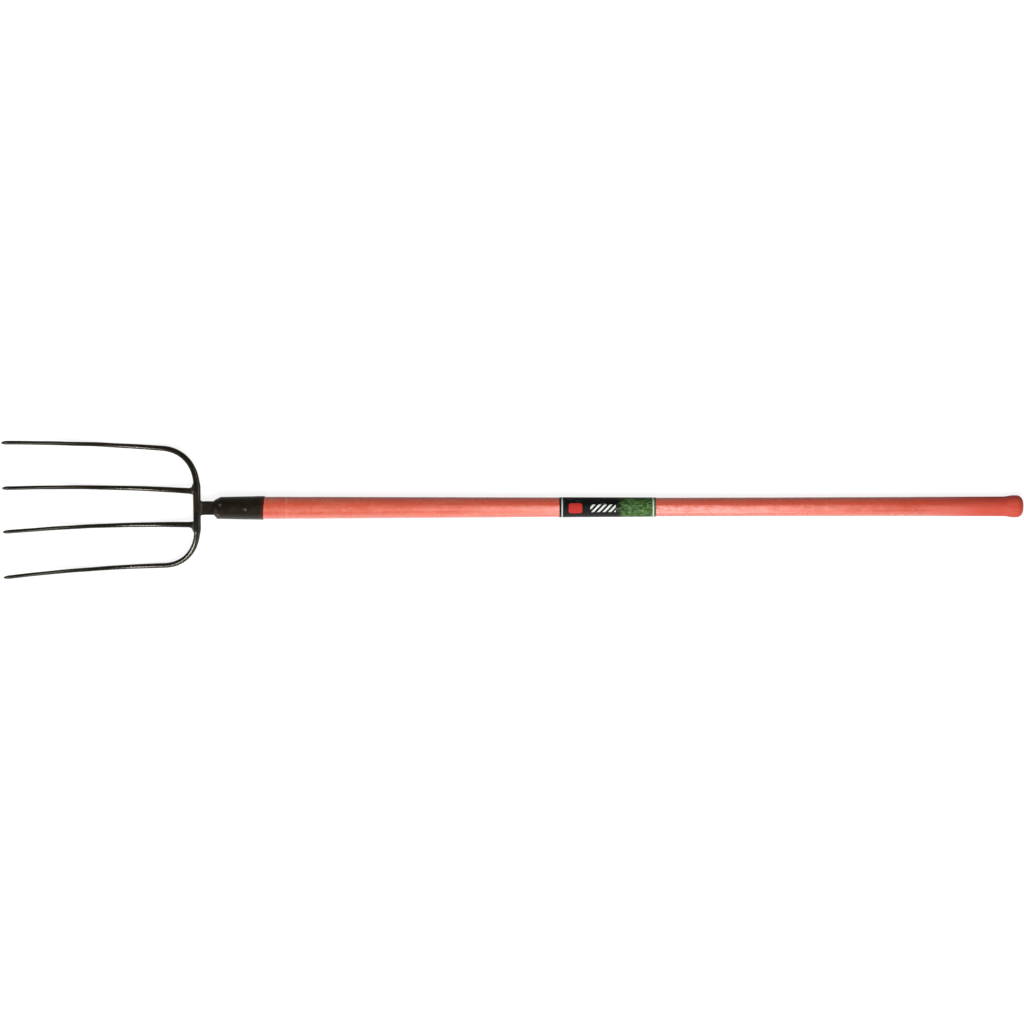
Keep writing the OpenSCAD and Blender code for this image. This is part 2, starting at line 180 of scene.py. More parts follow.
class HandleSizes(PropertyGroup):
    """Sizes of the handle and its label."""

    seat_gap: length("Seat gap", "Gap between the handle and the ferrule", 0.05)
    end_gap: length("End gap", "From the cap's shoulder to the handle's hidden end", 4)
    grip_d: length("Grip diameter", "Diameter of the straight grip", 31.2)
    grip_start: length("Grip start", "Distance from the ferrule to the straight grip", 658)
    grip_len: length("Grip length", "Length of the straight grip", 190)
    wrist_d: length("Wrist diameter", "Diameter just before the knob", 32.4)
    flare_len: length("Flare length", "Length of the flare out to the knob", 17)
    knob_d: length("Knob diameter", "Diameter of the knob", 36.5)
    knob_land: length("Knob land", "Length of the knob's straight land", 5)
    knob_round: length("Knob rounding", "Radius that the knob's end is rounded to", 10.5)
    dull_len: length("Dulling", "Length over which the gloss fades before the knob's flare", 160)
    uneven: length("Turning unevenness", "How far the turned surface wanders", 0.09)
    score_at: length("Scored ring", "Distance of the scored ring from the ferrule", 38)
    score_w: length("Scored ring width", "Half width of the scored ring", 1.2)
    label_start: length("Label start", "Distance from the ferrule to the label", 488)
    label_len: length("Label length", "Length of the label", 159.5)
    label_t: length("Label thickness", "Thickness of the label", 0.25)
    lap_rise: length("Label lap", "Rise of the label where its ends overlap", 0.16)
    glue_t: length("Glue", "Thickness of the glue under the label", 0.15)


class ForkFinishes(PropertyGroup):
    """Colours of the lacquers, the wood and the label, with painted shade toward the knob and painted glints.
    """

    black: tint("Black lacquer", "Lacquer on the forgings", (0.0112, 0.0104, 0.0072))
    brown: tint("Thin lacquer", "Lacquer where it is thin and brownish", (0.0225, 0.0155, 0.0085))
    # Rubbed steel also paints glints: on the ferrule's peen marks and mouth rim and on the rivet's crests
    bare: tint("Rubbed steel", "Steel that shows where the lacquer is rubbed", (0.240, 0.225, 0.200))
    cap: tint("Ferrule lacquer", "Lacquer on the ferrule and the rivet", (0.0115, 0.0086, 0.0056))
    smear: tint("Red smear", "Handle lacquer run onto the ferrule's rim", (0.085, 0.012, 0.006))
    red: tint("Red lacquer", "Lacquer along most of the handle", (0.720, 0.102, 0.050))
    deep: tint("Deep red", "Small dark blots in the lacquer", (0.470, 0.058, 0.028))
    # Painted shade: the handle's red is multiplied by this toward the knob, standing for the light falling
    # off there
    knob: tint("Knob shade", "What the lacquer is multiplied by toward the knob", (0.870, 0.450, 0.290))
    pale: tint("Pale red", "Lacquer where it is thin over light wood", (0.740, 0.165, 0.095))
    grain: tint("Grain", "Dark grain under the lacquer", (0.400, 0.048, 0.025))
    # The thin-ring colour at the ferrule's mouth is a painted highlight along the handle's edge; on the
    # scored ring it is thin lacquer
    ring: tint("Thin rings", "Thin lacquer on the scored ring and at the mouth", (0.800, 0.290, 0.200))
    film: tint("Label film", "Dark ground of the label", (0.006, 0.007, 0.006))
    leaf_dark: tint("Dark green", "Shade in the label's green field", (0.012, 0.045, 0.012))
    leaf: tint("Light green", "Light in the label's green field", (0.140, 0.270, 0.075))
    bar: tint("Red bar", "Plain bar on the label", (0.520, 0.030, 0.026))
    line: tint("Pale line", "Stripes and edge lines on the label", (0.760, 0.780, 0.740))
    floor: tint("Floor", "Plain pale floor", (0.28, 0.28, 0.28))


class StageSizes(PropertyGroup):
    """The camera, the lights and the floor."""

    lens: FloatProperty(name="Lens", description="Focal length on a 36 mm sensor", default=116.94,
                        unit="CAMERA")
    distance: length("Camera distance", "From the camera to the point it looks at", 5500)
    aim: spot("Aim", "Point that the camera looks at", (-0.0035, -0.0074, 0.0260))
    tilt: lean("Tilt", "Lean of the view toward the far side", 0.1202)
    roll: lean("Roll", "Turn of the picture", -0.0014)
    key_at: spot("Key light", "Place of the tall strip that gloss shows", (0.37, -0.50, 1.885))
    key_to: spot("Key aim", "Point that the tall strip faces", (0.37, 0.873, 0.0))
    key_wide: length("Key light width", "Width of the tall strip along the handle", 480)
    key_tall: length("Key light height", "Height of the tall strip", 4700)
    key_power: watts("Key power", "Power of the tall strip", 43.0)
    fill_at: spot("Fill light", "Place of the broad light overhead", (0.0, -0.95, 2.80))
    fill_to: spot("Fill aim", "Point that the broad light faces", (0.0, 0.0, 0.0))
    fill_size: length("Fill light size", "Side of the broad light overhead", 1600)
    fill_power: watts("Fill power", "Power of the broad light overhead", 88.0)
    side_at: spot("Side light", "Place of the light beside the tines", (-1.10, -0.75, 1.40))
    side_to: spot("Side aim", "Point that the light beside the tines faces", (-0.71, -0.44, 0.0))
    side_long: length("Side light length", "Length of the narrow light beside the tines", 560)
    side_wide: length("Side light width", "Width of the narrow light beside the tines", 340)
    side_power: watts("Side power", "Power of the light beside the tines", 30.0)
    overhead: share("Overhead", "Brightness straight overhead as gloss shows it", 0.03)
    ambient: share("Ambient light", "Strength of the light from all round", 0.20)
    near_share: share("Near gloss share", "Share of the near side's white that gloss shows", 2.00)
    far_share: share("Far gloss share", "Share of the far side's white that gloss shows", 0.25)
    floor_lift: share("Floor glow", "Share of white that the floor adds to the picture", 0.86)
    floor_half: length("Floor reach", "From the middle of the floor to its edge", 6000)
    floor_drop: length("Floor drop", "Depth of the floor below the fork", 0.4)


# Surfaces

# The ground point: the share of the section that it loses, the exponent of that fall, and the share of its
# length that is rounded off at the tip
POINT_LOSS = 0.65
POINT_POWER = 2.2
TIP_ROUND = 0.12

# Corners around the bow, an inner tine, a weld, the neck, the ferrule, the rivet, the handle and the label
BOW_SIDES = 40
TINE_SIDES = 36
WELD_SIDES = 120
NECK_SIDES = 160
FERRULE_SIDES = 200
RIVET_SIDES = 48
HANDLE_SIDES = 96
LABEL_SIDES = 144


def placed(along, across, above):
    """Points given along, across and above the handle's axis from the ferrule's mouth, in the row frame."""
    along, across, above = np.broadcast_arrays(along, across, above)
    return MOUTH + along[..., None] * ALONG + across[..., None] * ACROSS + above[..., None] * ABOVE


def smooth(low, high, value):
    """Smooth step: nothing below low, one above high, and a cubic rise between."""
    t = np.clip((value - low) / (high - low), 0, 1)
    return t * t * (3 - 2 * t)


def bell(value, width):
    """A bell of height one: the exponential of the squared value over a width, taken away."""
    return np.exp(-(value / width) ** 2)


def wander(place, seed, wave, count=5):
    """A smooth irregular curve: the mean of sines whose waves shorten from wave, with seeded phases."""
    phases = np.random.default_rng(seed).uniform(0, TURN, count)
    waves = wave / (1 + 0.63 * np.arange(count))
    return np.sin(TURN * np.asarray(place)[..., None] / waves + phases).mean(axis=-1)


def squared(value, power):
    """Sine or cosine raised to a power with its sign kept, which squares an oval."""
    return np.sign(value) * np.abs(value) ** power


def dents(first, second, seed, count, size):
    """A field of seeded round dents: the sum of bells of about the given size over two coordinates."""
    draw = np.random.default_rng(seed)
    a = draw.uniform(first.min(), first.max(), count)
    b = draw.uniform(second.min(), second.max(), count)
    deep = draw.uniform(0.35, 1.0, count)
    wide = draw.uniform(0.6, 1.4, count) * size
    gap = (first[..., None] - a) ** 2 + (second[..., None] - b) ** 2
    return (deep * np.exp(-gap / wide ** 2)).sum(axis=-1)


def distances(line):
    """Distance along a line of points from its first: the running sum of its steps."""
    return np.concatenate([[0], np.cumsum(np.linalg.norm(np.diff(line, axis=0), axis=1))])


def bar_rings(path, half_w, half_h, power, sides, spine=None):
    """Rings of a bar: at each point of a path (along, across, above) an oval, squared by power, that stands
    square to the way the path, or a spine beside it, runs, half_w wide to each side and half_h tall."""
    way = np.gradient(path if spine is None else spine, axis=0)
    way /= np.linalg.norm(way, axis=1, keepdims=True)
    side = np.cross([0.0, 0.0, 1.0], way)
    side /= np.linalg.norm(side, axis=1, keepdims=True)
    top = np.cross(way, side)
    angle = TURN * np.arange(sides) / sides
    power = np.broadcast_to(power, len(path))[:, None]
    wide = squared(np.cos(angle), power) * half_w[:, None]
    tall = squared(np.sin(angle), power) * half_h[:, None]
    return path[:, None, :] + wide[..., None] * side[:, None, :] + tall[..., None] * top[:, None, :]


def turned_rings(place, radius, sides, start=0.0):
    """Rings of a turned shape: a circle of each radius about the handle's axis at each place along it.
    Gives the places, the radii and the angles as whole grids."""
    angle = start + TURN * np.arange(sides) / sides
    return np.broadcast_arrays(place[:, None], radius[:, None], angle[None, :])


def around_axis(place, radius, angle):
    """Points of a turned grid in the row frame."""
    return placed(place, radius * np.cos(angle), radius * np.sin(angle))


def skin(points, ends="fan"):
    """Vertices of a tube of rings and blocks of its faces: quads between neighbours, each end closed by a fan
    on its middle, or the last ring joined to the first."""
    count, sides = points.shape[:2]
    rows = count if ends == "wrap" else count - 1
    row = np.arange(rows)[:, None]
    column = np.arange(sides)[None, :]
    after = (row + 1) % count
    beside = (column + 1) % sides
    quads = np.stack([row * sides + column, row * sides + beside, after * sides + beside,
                      after * sides + column], axis=-1).reshape(-1, 4)
    vertices, blocks = points.reshape(-1, 3), [quads]
    if ends == "fan":
        middle = count * sides
        vertices = np.vstack([vertices, points[0].mean(axis=0), points[-1].mean(axis=0)])
        here = np.arange(sides)
        there = (here + 1) % sides
        last = (count - 1) * sides
        blocks.append(np.stack([np.full(sides, middle), there, here], axis=-1))
        blocks.append(np.stack([np.full(sides, middle + 1), last + here, last + there], axis=-1))
    return vertices, blocks


def piece(name, skins, node, finish):
    """One finished piece from one or more skins: smooth faces, its finish, its body, its node."""
    vertices, faces, first = [], [], 0
    for points, blocks in skins:
        vertices.append(points)
        for block in blocks:
            faces += (block + first).tolist()
        first += len(points)
    mesh = bpy.data.meshes.new(name)
    mesh.from_pydata(np.vstack(vertices).tolist(), [], faces)
    mesh.polygons.foreach_set("use_smooth", np.ones(len(faces), dtype=bool))
    mesh.materials.append(finish)
    mesh.update()
    made = bpy.data.objects.new(name, mesh)
    bpy.context.scene.collection.objects.link(made)
    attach(made, "root")
    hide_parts(node)
    return made


def keep_on(made, name, values):
    """Keeps a value for each vertex as the piece's own attribute; a fan's middles get the last value."""
    spare = len(made.data.vertices) - values.size
    kept = np.concatenate([values.ravel(), np.full(spare, values.ravel()[-1])]).astype(np.float32)
    made.data.attributes.new(name, "FLOAT", "POINT").data.foreach_set("value", kept)


def give_wrap(made, rows, sides, place):
    """Keeps a flat map of a wrapped sheet: around it from 0 to 1, and along it by place."""
    layer = made.data.uv_layers.new(name="wrap")
    row = np.arange(rows)[:, None]
    column = np.arange(sides)[None, :]
    after = (row + 1) % rows
    left, right = np.broadcast_arrays(column / sides + 0.0 * row, (column + 1) / sides + 0.0 * row)
    here, there = np.broadcast_arrays(place[row] + 0.0 * column, place[after] + 0.0 * column)
    corners = np.stack([left, here, right, here, right, there, left, there], axis=-1)
    layer.data.foreach_set("uv", corners.reshape(-1).astype(np.float32))


def on_dish(head, u, across):
    """A plan place on the dished sheet, as along, across and above. The sheet is a parabola that is level at
    dish_len and zero at the crossbar."""
    dish = head.dish_depth * (((u - head.dish_len) / head.dish_len) ** 2 - 1)
    return np.stack([CROSSBAR_AT - u, across, dish], axis=-1)


def point_left(head, run, whole):
    """Share of the section left over the ground point: a power fall, rounded off at the tip."""
    t = np.clip((run - whole + head.point_len) / head.point_len, 0, 1)
    end = np.clip((t - 1 + TIP_ROUND) / TIP_ROUND, 0, 1)
    return (1 - POINT_LOSS * t ** POINT_POWER) * np.sqrt(1 - (0.985 * end) ** 2)


def tine_places(whole, point_len, count):
    """Places along a tine: even steps, and closer ones over the ground point and its tip."""
    point, tip = whole - point_len, whole - 0.13 * point_len
    return np.concatenate([np.linspace(0, point, count, endpoint=False),
                           np.linspace(point, tip, 26, endpoint=False), np.linspace(tip, whole, 16)])


def tip_wear(head, run, whole, sides):
    """Rubbed share around every ring of a tine: a smooth rise over the point and a little behind it."""
    rubbed = head.tip_rub * smooth(whole - 1.6 * head.point_len, whole, run)
    return np.repeat(rubbed[:, None], sides, axis=1)


def bow_half(head):
    """Half the bow's plan from the middle of the crossbar to a tip, as distance forward and across: the
    straight crossbar, a cubic bend, and the straight outer tine."""
    half = head.root_spacing / 2 + head.crossbar_past
    bend_to = np.array([head.bend_reach, head.bend_spread / 2])
    tip = np.array([head.tine_reach, head.outer_spread / 2])
    tine_len = np.linalg.norm(tip - bend_to)
    way = (tip - bend_to) / tine_len
    bend_from = np.array([0.0, half])
    first = bend_from + [0, (bend_to[1] - half) * head.bend_share]
    second = bend_to - way * head.bend_reach * head.bend_share
    t = np.linspace(0, 1, 110, endpoint=False)[:, None]
    bend = (bend_from * (1 - t) ** 3 + 3 * first * t * (1 - t) ** 2 + 3 * second * t ** 2 * (1 - t)
            + bend_to * t ** 3)
    crossbar = np.stack([np.zeros(36), np.linspace(0, half, 36, endpoint=False)], axis=-1)
    tine = bend_to + way * tine_places(tine_len, head.point_len, 200)[:, None]
    return np.vstack([crossbar, bend, tine]), half


def inner_tine_bar(head, u):
    """Centre line and half sizes of an inner tine on the +Y side at distances forward of the crossbar: a
    straight line on the dish, and a power fall from the root's section to the point's."""
    slope = (head.inner_spread - head.root_spacing) / 2 / head.tine_reach
    fall = np.clip(1 - u / head.tine_reach, 0, 1) ** head.tine_taper
    left = point_left(head, u, head.tine_reach)
    half_w = (head.point_w + (head.root_w - head.point_w) * fall) * left / 2
    half_h = (head.point_h + (head.root_h - head.point_h) * fall) * left / 2
    return on_dish(head, u, head.root_spacing / 2 + slope * u), half_w, half_h


def neck_bar(head, u):
    """Centre line and half sizes of the flat neck at distances behind the crossbar."""
    return (np.stack([CROSSBAR_AT + u, 0 * u, 0 * u], axis=-1), np.full_like(u, head.neck_w / 2),
            np.full_like(u, head.neck_t / 2))


def swollen(head, values, run, seed):
    """Half sizes with the slow swell and the short hammer swell of forging."""
    slow = wander(run, seed, 110 * MM)
    short = wander(run, seed + 1, 22 * MM)
    return values * (1 + head.unevenness * (slow + 0.45 * short))


def on_side(rings, side):
    """Rings mirrored to the -Y side, turned back so that their faces still point outward."""
    if side > 0:
        return rings
    mirrored = rings * np.array([1.0, -1.0, 1.0])
    return mirrored[:, ::-1]


def in_row(rings):
    """Rings given along, across and above, put in the row frame."""
    return placed(rings[..., 0], rings[..., 1], rings[..., 2])


def rivet_seat(cap):
    """Height of the flat under a rivet's head: the ferrule's crown at the rivet, less the seat's depth."""
    shoulder = cap.cap_len - cap.ferrule_len
    shoulder_r = cap.shoulder_d / 2
    crown = shoulder_r + (MOUTH_R - shoulder_r) * (shoulder + cap.rivet_setback) / shoulder
    return crown - cap.seat_depth


# Finishes

# Black lacquers: the colour, the scale and the depth of the dents, the roughness where the film is smooth and
# where it is rough, the share that handling rubs bare, and the specular level
BLACK_LACQUERS = {
    "forged_lacquer": ("black", 60.0, 0.12 * MM, 0.13, 0.22, 0.04, 0.28),
    "rough_lacquer": ("black", 330.0, 1.3 * MM, 0.36, 0.52, 0.12, 0.12),
    "ferrule_lacquer": ("cap", 60.0, 0.6 * MM, 0.28, 0.42, 0.09, 0.18),
    "rivet_lacquer": ("cap", 500.0, 0.4 * MM, 0.30, 0.42, 0.25, 0.30),
}

# The label's size around and along the handle, and its print in shares of them: the red bar's middle, half
# length, half width and corner, the stripes' ends, half width, count and slant, and the edge lines' place
LABEL_AROUND, LABEL_ALONG = 104 * MM, 160 * MM
BAR_AT, BAR_LONG, BAR_WIDE, BAR_CORNER = 0.165, 0.070, 0.085, 4 * MM
STRIPES_FROM, STRIPES_TO, STRIPES_WIDE, STRIPE_COUNT, STRIPE_SLANT = 0.320, 0.582, 0.062, 17.0, 0.62
EDGE_LINE_AT = 0.472


def put(tree, kind, inputs=None, **settings):
    """Places a node, sets it up, and gives each named or numbered input a value or a link."""
    node = tree.nodes.new(kind)
    for name, value in settings.items():
        setattr(node, name, value)
    for key, value in (inputs or {}).items():
        if isinstance(value, NodeSocket):
            tree.links.new(value, node.inputs[key])
        else:
            node.inputs[key].default_value = value
    return node


def sums(tree, operation, *values, clamp=False):
    """A sum of one, two or three values."""
    node = put(tree, "ShaderNodeMath", dict(enumerate(values)), operation=operation, use_clamp=clamp)
    return node.outputs[0]


def times(tree, *values):
    """Values multiplied together, one after another."""
    product = values[0]
    for value in values[1:]:
        product = sums(tree, "MULTIPLY", product, value)
    return product


def off(tree, value, middle):
    """How far a value is from a middle, to either side."""
    return sums(tree, "ABSOLUTE", sums(tree, "SUBTRACT", value, middle))


def mixed(tree, part, low, high, way="MIX"):
    """Two colours mixed by a share."""
    low, high = (colour if isinstance(colour, NodeSocket) else (*colour, 1.0) for colour in (low, high))
    return put(tree, "ShaderNodeMix", {0: part, 6: low, 7: high}, data_type="RGBA", blend_type=way).outputs[2]


def layered(tree, base, *layers):
    """A colour with others laid over it in turn, each by its own share."""
    for part, colour in layers:
        base = mixed(tree, part, base, colour)
    return base


def ranged(tree, value, low, high, bottom=0.0, top=1.0):
    """A value from low to high spread smoothly from bottom to top, and held beyond."""
    return put(tree, "ShaderNodeMapRange", {0: value, 1: low, 2: high, 3: bottom, 4: top},
               interpolation_type="SMOOTHSTEP").outputs[0]


def window(tree, value, low, high, soft):
    """One from low to high and nothing outside, each edge soft to both sides."""
    return times(tree, ranged(tree, value, low - soft, low + soft),
                 ranged(tree, value, high - soft, high + soft, 1.0, 0.0))


def cloud(tree, vector, scale, detail=3.0, rough=0.55, distortion=0.0):
    """Soft noise, about a half on average."""
    return put(tree, "ShaderNodeTexNoise", {"Vector": vector, "Scale": scale, "Detail": detail,
                                            "Roughness": rough, "Distortion": distortion}).outputs[0]


def drawn_out(tree, vector, scale, place=(0.0, 0.0, 0.0)):
    """Coordinates drawn out by a scale for each axis."""
    return put(tree, "ShaderNodeMapping", {"Vector": vector, "Scale": scale, "Location": place}).outputs[0]


def stretched(tree, vector, scale):
    """A vector multiplied by another."""
    return put(tree, "ShaderNodeVectorMath", {0: vector, 1: scale}, operation="MULTIPLY").outputs[0]


def split(tree, vector):
    """The three parts of a vector."""
    return put(tree, "ShaderNodeSeparateXYZ", {0: vector}).outputs


def kept_value(tree, name):
    """A value that a piece keeps for each vertex."""
    return put(tree, "ShaderNodeAttribute", attribute_name=name, attribute_type="GEOMETRY").outputs["Fac"]


def shared_group(name, inputs, outputs):
    """A shader node group with its sockets, its entry and its exit. An input without a number is a vector."""
    tree = bpy.data.node_groups.new(name, "ShaderNodeTree")
    for label, value in inputs.items():
        kind = "NodeSocketFloat" if isinstance(value, float) else "NodeSocketVector"
        socket = tree.interface.new_socket(name=label, in_out="INPUT", socket_type=kind)
        if value is not None:
            socket.default_value = value
    for label in outputs:
        tree.interface.new_socket(name=label, in_out="OUTPUT", socket_type="NodeSocketFloat")
    return tree, tree.nodes.new("NodeGroupInput").outputs, tree.nodes.new("NodeGroupOutput").inputs


def lacquer_film():
    """Group: how a lacquer lies. A fine peel and slow sags give its height, and slow clouds its gloss."""
    name = "lacquer_film"
    if name in bpy.data.node_groups:
        return bpy.data.node_groups[name]
    tree, take, give = shared_group(
        name, {"Vector": None, "Peel Scale": 700.0, "Sag Scale": 90.0, "Smooth": 0.3, "Rough": 0.45},
        ("Height", "Roughness"))
    peel = cloud(tree, take["Vector"], take["Peel Scale"], 2.0)
    sag = cloud(tree, take["Vector"], take["Sag Scale"], 2.0)
    tree.links.new(sums(tree, "MULTIPLY_ADD", peel, 0.35, sag), give["Height"])
    gloss = ranged(tree, cloud(tree, take["Vector"], 38.0, 4.0), 0.32, 0.68, take["Smooth"], take["Rough"])
    tree.links.new(gloss, give["Roughness"])
    return tree


def handling_scuffs():
    """Group: mask of light rubs and scratches. Long thin noise is cut to streaks, kept only in patches."""
    name = "handling_scuffs"
    if name in bpy.data.node_groups:
        return bpy.data.node_groups[name]
    tree, take, give = shared_group(
        name, {"Vector": None, "Streak": (60.0, 900.0, 900.0), "Patch Scale": 30.0, "Share": 0.5}, ("Mask",))
    streak = stretched(tree, take["Vector"], take["Streak"])
    scratch = ranged(tree, cloud(tree, streak, 1.0, 2.0), 0.60, 0.74)
    patch = ranged(tree, cloud(tree, take["Vector"], take["Patch Scale"], 3.0), 0.50, 0.68)
    mask = sums(tree, "MULTIPLY", times(tree, scratch, patch), take["Share"], clamp=True)
    tree.links.new(mask, give["Mask"])
    return tree


def new_finish(name):
    """A finish with its tree, its shader and Object coordinates."""
    finish = bpy.data.materials.new(name)
    finish.use_nodes = True
    tree = finish.node_tree
    return finish, tree, tree.nodes["Principled BSDF"], put(tree, "ShaderNodeTexCoord").outputs["Object"]


def placed_group(tree, group, inputs):
    """One of the shared groups placed in a finish with its own values."""
    return put(tree, "ShaderNodeGroup", inputs, node_tree=group).outputs


def dress(tree, shader, base, rough, relief, specular):
    """Gives a shader its colour, its roughness, its relief and its specular level."""
    for name, value in (("Base Color", base), ("Roughness", rough), ("Normal", relief)):
        tree.links.new(value, shader.inputs[name])
    shader.inputs["Specular IOR Level"].default_value = specular


def black_lacquer(name, colours):
    """Black lacquer on forged steel: brownish where it is thin, rubbed in patches and where the kept value
    says, over the dents of forging. On the ferrule and the rivet that kept value also paints glints."""
    if name in bpy.data.materials:
        return bpy.data.materials[name]
    colour, dent_scale, dent_depth, smooth_at, rough_at, worn, specular = BLACK_LACQUERS[name]
    finish, tree, shader, where = new_finish(name)
    film = placed_group(tree, lacquer_film(), {"Vector": where, "Peel Scale": 900.0, "Sag Scale": 160.0,
                                               "Smooth": smooth_at, "Rough": rough_at})
    scuff = placed_group(tree, handling_scuffs(), {"Vector": where, "Streak": (140.0, 520.0, 520.0),
                                                   "Patch Scale": 34.0, "Share": 0.55})
    thin = ranged(tree, cloud(tree, where, 46.0, 4.0, 0.6), 0.42, 0.70)
    fleck = ranged(tree, cloud(tree, where, 420.0, 3.0, 0.6), 0.52, 0.66)
    # On the ferrule and the rivet the kept value is partly a painted glint on the peen marks, the rim and the
    # crests
    kept_rub_and_glint = times(tree, kept_value(tree, "wear_and_glint"), sums(tree, "MULTIPLY_ADD", fleck, 0.6, 0.4))
    rubbed = sums(tree, "MULTIPLY_ADD", scuff["Mask"], worn, kept_rub_and_glint, clamp=True)
    blotch = ranged(tree, cloud(tree, where, 150.0, 2.0), 0.28, 0.50)
    smeared = times(tree, kept_value(tree, "smear"), blotch)
    base = layered(tree, getattr(colours, colour), (thin, colours.brown), (rubbed, colours.bare),
                   (smeared, colours.smear))
    dent = cloud(tree, where, dent_scale, 3.0, 0.5)
    dented = put(tree, "ShaderNodeBump", {"Strength": 1.0, "Distance": dent_depth, "Height": dent})
    peeled = put(tree, "ShaderNodeBump", {"Strength": 0.5, "Distance": 0.06 * MM, "Height": film["Height"],
                                          "Normal": dented.outputs[0]})
    dress(tree, shader, base, film["Roughness"], peeled.outputs[0], specular)
    shader.inputs["Specular Tint"].default_value = (1.0, 0.96, 0.84, 1.0)
    return finish


def red_lacquered_ash(colours):
    """Red lacquer over turned wood: growth rings, long grain, short pores and mottling show through. The red
    is darkened toward the knob as painted shade, and the gloss dulls there."""
    finish, tree, shader, where = new_finish("red_lacquered_ash")
    film = placed_group(tree, lacquer_film(), {"Vector": where, "Peel Scale": 420.0, "Sag Scale": 70.0,
                                               "Smooth": 0.22, "Rough": 0.31})
    scuff = placed_group(tree, handling_scuffs(), {"Vector": where, "Streak": (40.0, 480.0, 480.0),
                                                   "Patch Scale": 16.0, "Share": 0.8})
    long_grain = cloud(tree, drawn_out(tree, where, (4.0, 85.0, 85.0)), 1.0, 4.0, 0.6)
    fine_grain = cloud(tree, drawn_out(tree, where, (16.0, 520.0, 520.0)), 1.0, 3.0, 0.6)
    pore = cloud(tree, drawn_out(tree, where, (75.0, 1500.0, 1500.0)), 1.0, 1.0)
    pores = ranged(tree, pore, 0.62, 0.72)
    trunk = drawn_out(tree, where, (0.5, 1.0, 1.0), (0.0, 0.055, 0.090))
    growth = put(tree, "ShaderNodeTexWave", {"Vector": trunk, "Scale": 95.0, "Distortion": 2.2, "Detail": 2.0,
                                             "Detail Scale": 0.25}, wave_type="RINGS",
                 rings_direction="X").outputs["Fac"]
    mottle = cloud(tree, where, 62.0, 4.0, 0.6)
    patch = cloud(tree, drawn_out(tree, where, (9.0, 22.0, 22.0)), 1.0, 2.0)
    blot = cloud(tree, where, 120.0, 2.0)
    tone = sums(tree, "ADD", times(tree, long_grain, 0.55), times(tree, mottle, 0.45))
    dark = times(tree, ranged(tree, growth, 0.55, 0.95), ranged(tree, fine_grain, 0.42, 0.62), 0.30)
    # The kept value lays the thin-ring colour on the scored ring and, as a painted highlight, at the
    # ferrule's mouth
    base = layered(tree, colours.red,
                   (ranged(tree, tone, 0.46, 0.66, 0.0, 0.60), colours.pale),
                   (ranged(tree, patch, 0.50, 0.72, 0.0, 0.35), colours.pale),
                   (dark, colours.grain),
                   (times(tree, pores, 0.30), colours.grain),
                   (ranged(tree, blot, 0.64, 0.74, 0.0, 0.45), colours.deep),
                   (times(tree, scuff["Mask"], 0.30), colours.pale),
                   (kept_value(tree, "wear_and_glint"), colours.ring))
    # Painted shade: the red is multiplied darker toward the knob end
    knob_painted_shade = ranged(tree, split(tree, where)[0], 0.50, 0.86)
    base = mixed(tree, knob_painted_shade, base, colours.knob, "MULTIPLY")
    rough = sums(tree, "MULTIPLY_ADD", kept_value(tree, "dull"), 0.5, film["Roughness"], clamp=True)
    relief = sums(tree, "SUBTRACT", sums(tree, "MULTIPLY_ADD", fine_grain, 0.5, film["Height"]), pores)
    bumped = put(tree, "ShaderNodeBump", {"Strength": 0.35, "Distance": 0.4 * MM, "Height": relief})
    dress(tree, shader, base, rough, bumped.outputs[0], 1.0)
    return finish


